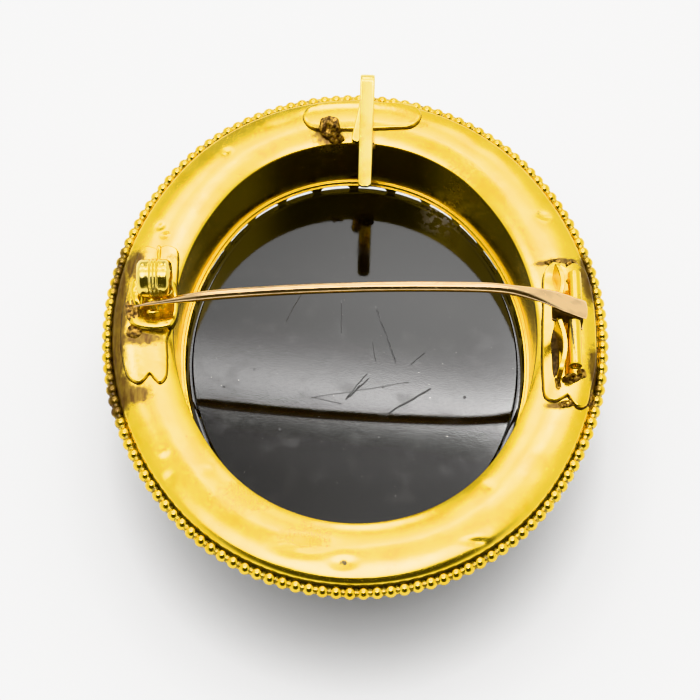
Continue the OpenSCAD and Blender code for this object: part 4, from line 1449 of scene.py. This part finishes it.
def pin_shells():
    """Shells of the strap with its shank, the block's bottom leaf, and the block's core."""
    axis_z = mm("bead_z") + AXIS_RISE
    rows = pin_path()
    centres = []
    for x, z, *_ in rows:
        tip = max((-x - TIP_START) / TIP_L, 0.0) ** 2
        y = PIN_Y + PIN_LEAN * x - TIP_ASIDE * tip
        centres.append((x, y, axis_z + z - TIP_DROP * tip))
    up = [(math.sin(a), 0, -math.cos(a)) for _, _, a, *_ in rows]
    shank = sweep(centres, [(0, 1, 0)], up, [squircle(w, h, p, 28) for *_, w, h, p in rows])
    under = (BLOCK_T / 2 - STRAP_T) / math.cos(BLOCK_SLOPE) + 0.1
    left, right, low = BLOCK_LEFT, BLOCK_RIGHT, -BLOCK_LOW
    core = [(left + 0.1, low + 0.3, 0.05), (left + 0.1, under, 0.05), (right - 0.1, under, 0.05),
            (right - 0.1, low + 0.35, 0.05)]
    leaf = [(left, low, 0.08), (left, low + 0.36, 0.08), (right, low + 0.4, 0.08),
            (right, low + 0.25, 0.1), (right - 0.3, low + 0.03, 0.1)]
    half = BLOCK_W / 2
    return moved(shank), box(leaf, half, 0.04), box(core, half - 0.10, 0.03)


def box(corners, half, soft):
    """Solid of an outline under the strap, in x and in height above the strap's slope."""
    axis_z = mm("bead_z") + AXIS_RISE
    outline = rounded(corners)
    middle = np.mean([c[:2] for c in corners], axis=0)
    rings = []
    edge = soft * 0.3
    for y, inward in ((-half, soft), (-half + edge, edge), (-half + soft, 0), (half - soft, 0),
                      (half - edge, edge), (half, soft)):
        ring = middle + (np.array(outline) - middle) * (1 - inward)
        rings.append([(x, y, axis_z - x * math.tan(BLOCK_SLOPE) + rise) for x, rise in ring])
    return moved(loft(rings))


class BROOCH_OT_pin(bpy.types.Operator):
    """Bowed pin whose shank flattens into a strap over its block"""
    bl_idname = "brooch.pin"
    bl_label = "Pin"

    def execute(self, context):
        shank, leaf, core = pin_shells()
        make_piece("pin_body", [shank, leaf], "rose", body="pin", replaces="pin", angle=35)
        # The block's core gets the dark seam finish as painted shade inside the folded block
        make_piece("pin_core", [core], "seam", body="pin", angle=35, slot="pin_gold")
        return {"FINISHED"}


HOOK_X = 1.85
HOOK_INSET = 1.45
HOOK_W = 1.2
HOOK_T = 0.45
HOOK_FLARE = 0.14
HOOK_R = 1.3
BEND_REACH = 0.4
FOOT_L = 4.6
LEG_L = 10.3
HOOK_SLOPE = math.radians(11)
HOOK_TURN = math.radians(-3.2)
FOOT_TURN = math.radians(-9)
TAB_X = 1.3
TAB_INSET = 3.1
TAB_L = 11.2
TAB_W = 3.3
# Radii of the round end of the foot and of the corners of the leg's end, and the leg's wave
FOOT_END_R = 0.6
LEG_END_R = 0.35
LEG_WAVE = 0.09


def hook_shells():
    """Shells of the hook's folded strip and of its plate, and the plate's outline."""
    oval = Oval()
    hx, hy = HOOK_X, oval.end_y(HOOK_X, HOOK_INSET) + BEND_REACH
    hz = plate_top_z() + HOOK_R - SINK
    mid = HOOK_R - HOOK_T / 2
    # Rows along the strip: x, y and z from the bend's middle, direction, width
    rows = []
    reach = FOOT_L + BEND_REACH + HOOK_W / 2
    for s in [0, 0.03, 0.1, 0.22, 0.38, FOOT_END_R, *np.linspace(1.0, reach, 9)]:
        along = reach - s
        lean = (along - HOOK_W * 0.1) * math.sin(FOOT_TURN)
        short = max(FOOT_END_R - s, 0) / FOOT_END_R
        width = HOOK_W * math.sqrt(max(1 - short ** 2, 0.02))
        rows.append((lean, -along, -mid, -math.pi / 2, width))
    for a in np.linspace(-math.pi / 2, math.pi / 2 + HOOK_SLOPE, 30)[1:]:
        rows.append((0, mid * math.cos(a), mid * math.sin(a), a, HOOK_W + HOOK_FLARE))
    _, y0, z0, a, _ = rows[-1]
    leg = LEG_L + BEND_REACH
    for s in [*np.linspace(0.4, leg - 0.4, 12), leg - 0.2, leg - 0.08, leg - 0.02, leg]:
        width = HOOK_W + HOOK_FLARE * min((leg - s) / leg, 1)
        short = max(LEG_END_R - (leg - s), 0)
        width -= 2 * (LEG_END_R - math.sqrt(max(LEG_END_R ** 2 - short ** 2, 0.0)))
        wave = LEG_WAVE * math.sin(2 * math.pi * s / leg)
        rows.append((0, y0 - s * math.sin(a), z0 + s * math.cos(a) + wave, a, width))
    cos, sin = math.cos(HOOK_TURN), math.sin(HOOK_TURN)
    centres = [(hx + x * cos - y * sin, hy + x * sin + y * cos, hz + z) for x, y, z, *_ in rows]
    up = [(-math.cos(a) * sin, math.cos(a) * cos, math.sin(a)) for *_, a, _ in rows]
    strip = sweep(centres, [(cos, sin, 0)], up, [squircle(w, HOOK_T, 5.5, 28) for *_, w in rows])
    r, half = TAB_W / 2, TAB_L / 2
    ends = arc((half - r, 0), r, -90, 90, 18) + arc((r - half, 0), r, 90, 270, 18)
    outline = placed(spaced(ends, 0.22), TAB_X, oval.end_y(TAB_X, TAB_INSET))
    return strip, border_plate(outline), outline


class BROOCH_OT_hook(bpy.types.Operator):
    """Pendant hook: round-ended plate, soldered foot, bend and free leg"""
    bl_idname = "brooch.hook"
    bl_label = "Pendant hook"

    def execute(self, context):
        strip, plate, outline = hook_shells()
        make_piece("hook_body", [plate], "fitting", replaces="pendant_hook", angle=32)
        make_piece("hook_leg", [strip], "pale", angle=32)
        make_piece("hook_seam", [seam(outline, 0.06, 21.0)], "seam")
        make_piece("hook_solder", [
            blob(-1.75, 21.0, 1.0, 1.25, 0.42, 31.0, plate_top, 0.25, 0.45,
                 ((-0.2, -0.1, 0.22), (0.3, 0.2, 0.18), (0.1, -0.6, 0.2))),
            blob(-1.2, 19.95, 0.75, 0.5, 0.5, 32.0, on_border, 0.0, 0.4, ((0.0, 0.1, 0.3),)),
            blob(1.75, 19.2, 0.75, 0.5, 0.35, 33.0, on_border, 0.0, 0.3)], "solder")
        return {"FINISHED"}


# Stage

FLOOR_HALF = 600.0
# Camera fitted to the photo: angles, distance and aim in millimetres, lens for a 36 mm sensor
CAMERA_ELEVATION = math.radians(59.7055)
CAMERA_AZIMUTH = math.radians(1.47846)
CAMERA_DISTANCE = 143.343
CAMERA_AIM = (-0.50127, -2.47623, 10.6)
CAMERA_LENS = 83.645
CAMERA_SENSOR = 36


def add_camera():
    """Camera at the photo's side."""
    e, a = CAMERA_ELEVATION, CAMERA_AZIMUTH
    ahead = Vector((math.sin(a) * math.cos(e), math.cos(a) * math.cos(e), -math.sin(e)))
    right = Vector((math.cos(a), -math.sin(a), 0))
    up = right.cross(ahead)
    data = bpy.data.cameras.new("camera")
    data.lens = CAMERA_LENS
    data.sensor_width = CAMERA_SENSOR
    data.clip_start = 0.005
    data.clip_end = 10
    camera = bpy.data.objects.new("camera", data)
    turn = Matrix((right, up, -ahead)).transposed()
    place = (Vector(CAMERA_AIM) - ahead * CAMERA_DISTANCE) * MM
    camera.matrix_world = Matrix.Translation(place) @ turn.to_4x4()
    bpy.context.collection.objects.link(camera)
    bpy.context.scene.camera = camera


# Light mirrored from the far side: elevation in degrees, brightness
FAR_LIGHT = [
    (0, 0.9), (40, 1.0), (46, 2.0), (52, 2.6), (56.7, 3.6), (57.4, 3.9), (58.5, 3.6),
    (59.5, 3.6), (60.2, 5.0), (60.75, 10.8), (61.3, 13.0), (61.65, 11.5), (61.95, 7.5),
    (62.03, 0.2), (62.68, 0.2), (62.75, 2.3), (63.0, 2.4), (63.5, 2.0), (64.1, 1.7), (66, 1.8),
    (76, 2.0), (90, 2.0),
]
# Degrees that the far light rises towards the right for one unit of the direction's X, and
# its brightness left and right of two such directions
BAND_TILT = 8.7
BAND_SIDES = (-0.13, 0.09)
BAND_LEFT = 0.66
BAND_RIGHT = 1.12
# The far light fades out between these directions' X, and begins between these directions' Y
BAND_WIDTH = (0.25, 0.55)
BAND_NEAR = (0.0, 0.12)
# Soft lamps: direction, brightness, angles from it in degrees where they begin to fade and end
LAMPS = [
    ((-0.02, -0.13, 0.99), 8.5, 7.0, 16.0), ((-0.33, -0.04, 0.94), 5.0, 3.0, 13.0),
    ((0.24, -0.05, 0.97), 6.0, 3.0, 10.0), ((-0.38, 0.46, 0.80), 8.0, 1.5, 6.5),
    ((-0.20, 0.59, 0.78), 3.5, 3.0, 9.0), ((0.20, 0.45, 0.87), 3.8, 2.5, 7.0),
    ((0.40, 0.36, 0.84), 2.2, 2.0, 8.0), ((0.0, 0.86, 0.51), 9.0, 2.0, 7.0),
    ((0.22, 0.75, 0.62), 3.0, 2.0, 8.0),
]
# Brightness elsewhere, and of the dark side behind the camera, with its elevation and its
# angles where it begins to fade and ends
TENT = 1.0
DARK_SIDE = 0.06
DARK_ELEVATION = math.radians(44)
DARK_INNER = 30
DARK_OUTER = 54
# Brightest light that is mirrored a second time, and the ray depth past which it counts as one
SECOND_MIRROR = 2.4
SECOND_DEPTH = 2.5
# Light that falls on matt things: from the near side, from the far side, and more from above
NEAR_SKY = 0.12
FAR_SKY = 3.55
SKY_REACH = 0.7
TOP_SKY = 1.1
TOP_START = 0.95
# Shares of that light that reach the floor by way of the gold, and after a second matt bounce
MIRRORED_SHARE = 0.02
DEEP_SHARE = 0.03
AIR_TINT = (1.0, 0.995, 0.985, 1)


def far_light(n, x, y, z):
    """Brightness of the far side, by elevation, brighter towards its right."""
    degrees = n.times(n.math("ARCTAN2", z, y), 180 / math.pi)
    tilted = n.math("SUBTRACT", degrees, n.times(x, BAND_TILT))
    node = n.add("ShaderNodeValToRGB", {0: n.math("DIVIDE", tilted, 90)})
    peak = max(brightness for _, brightness in FAR_LIGHT)
    stops = node.color_ramp.elements
    stops.remove(stops[-1])
    for i, (angle, brightness) in enumerate(FAR_LIGHT):
        stop = stops[0] if i == 0 else stops.new(angle / 90)
        stop.position = angle / 90
        stop.color = (brightness / peak,) * 3 + (1,)
    side = n.ramp(x, *BAND_SIDES, BAND_LEFT * peak, BAND_RIGHT * peak)
    return n.times(node, side)


def soft_sky(n, y, z, path):
    """Brightness that matt things see: a far side, a near side and more from above."""
    across = n.ramp(y, -SKY_REACH, SKY_REACH, NEAR_SKY, FAR_SKY, "LINEAR")
    sky = n.plus(across, n.ramp(z, TOP_START, 1.0, 0, TOP_SKY))
    sky = n.times(sky, n.ramp(path["Is Diffuse Ray"], 0, 1, MIRRORED_SHARE, 1, "LINEAR"))
    return n.times(sky, n.ramp(path["Diffuse Depth"], 1, 2, 1, DEEP_SHARE, "LINEAR"))


def add_light():
    """World whose mirrored light is a far side, lamps and a dark side, and whose light on matt
    things is a soft sky."""
    world = bpy.data.worlds.new("light tent")
    world.use_nodes = True
    bpy.context.scene.world = world
    n = Tree(world.node_tree)
    look = n.add("ShaderNodeTexCoord").outputs["Generated"]
    x, y, z = n.add("ShaderNodeSeparateXYZ", {0: look}).outputs
    path = n.add("ShaderNodeLightPath").outputs

    def toward(direction, inner, outer, low, high):
        """Value that goes from low to high towards a direction."""
        near = n.dot(look, direction)
        return n.ramp(near, math.cos(math.radians(outer)), math.cos(math.radians(inner)), low, high)

    def either(share, a, b):
        return n.add("ShaderNodeMix", {0: share, 2: a, 3: b})

    beside = n.ramp(n.math("ABSOLUTE", x), *BAND_WIDTH, 1, 0)
    patch = n.times(beside, n.ramp(y, *BAND_NEAR))
    behind = (0.0, -math.cos(DARK_ELEVATION), math.sin(DARK_ELEVATION))
    shade = toward(behind, DARK_INNER, DARK_OUTER, TENT, DARK_SIDE)
    total = either(patch, shade, far_light(n, x, y, z))
    for direction, brightness, inner, outer in LAMPS:
        glow = toward(Vector(direction).normalized(), inner, outer, 0, brightness)
        total = n.plus(total, glow)
    again = n.math("GREATER_THAN", path["Ray Depth"], SECOND_DEPTH)
    mirrored = either(again, total, n.math("MINIMUM", total, SECOND_MIRROR))
    matt = n.math("GREATER_THAN", path["Diffuse Depth"], 0.5)
    background = n.tree.nodes["Background"].inputs
    n.join(AIR_TINT, background["Color"])
    n.join(either(matt, mirrored, soft_sky(n, y, z, path)), background["Strength"])
    world.cycles.sampling_method = "NONE"


class BROOCH_OT_stage(bpy.types.Operator):
    """Pale floor, soft light and camera"""
    bl_idname = "brooch.stage"
    bl_label = "Stage"

    def execute(self, context):
        half = FLOOR_HALF
        corners = [(-half, -half, 0), (half, -half, 0), (half, half, 0), (-half, half, 0)]
        mesh = new_mesh("floor", corners, [(0, 1, 2, 3)])
        floor = linked("floor", mesh)
        mesh.materials.append(finish_of("floor"))
        add_camera()
        add_light()
        context.scene.view_settings.view_transform = "Khronos PBR Neutral"
        return {"FINISHED"}


OPERATORS = (
    BROOCH_OT_stage, BROOCH_OT_border, BROOCH_OT_collet, BROOCH_OT_gallery, BROOCH_OT_beads,
    BROOCH_OT_stone, BROOCH_OT_catch, BROOCH_OT_hinge, BROOCH_OT_pin, BROOCH_OT_hook,
)


class BROOCH_PT_panel(bpy.types.Panel):
    """Sidebar panel with the operators, sizes and colours"""
    bl_idname = "BROOCH_PT_panel"
    bl_label = "Cameo brooch"
    bl_space_type = "VIEW_3D"
    bl_region_type = "UI"
    bl_category = "Brooch"

    def draw(self, context):
        for operator in OPERATORS:
            self.layout.operator(operator.bl_idname)
        for group in (context.scene.brooch_sizes, context.scene.brooch_colours):
            for name in group.__annotations__:
                self.layout.prop(group, name)


CLASSES = (BroochSizes, BroochColours) + OPERATORS + (BROOCH_PT_panel,)


def register():
    for cls in CLASSES:
        bpy.utils.register_class(cls)
    bpy.types.Scene.brooch_sizes = bpy.props.PointerProperty(type=BroochSizes)
    bpy.types.Scene.brooch_colours = bpy.props.PointerProperty(type=BroochColours)


def unregister():
    del bpy.types.Scene.brooch_sizes
    del bpy.types.Scene.brooch_colours
    for cls in reversed(CLASSES):
        bpy.utils.unregister_class(cls)


def main():
    register()
    for operator in OPERATORS:
        group, name = operator.bl_idname.split(".")
        getattr(getattr(bpy.ops, group), name)()


if __name__ == "__main__":
    main()
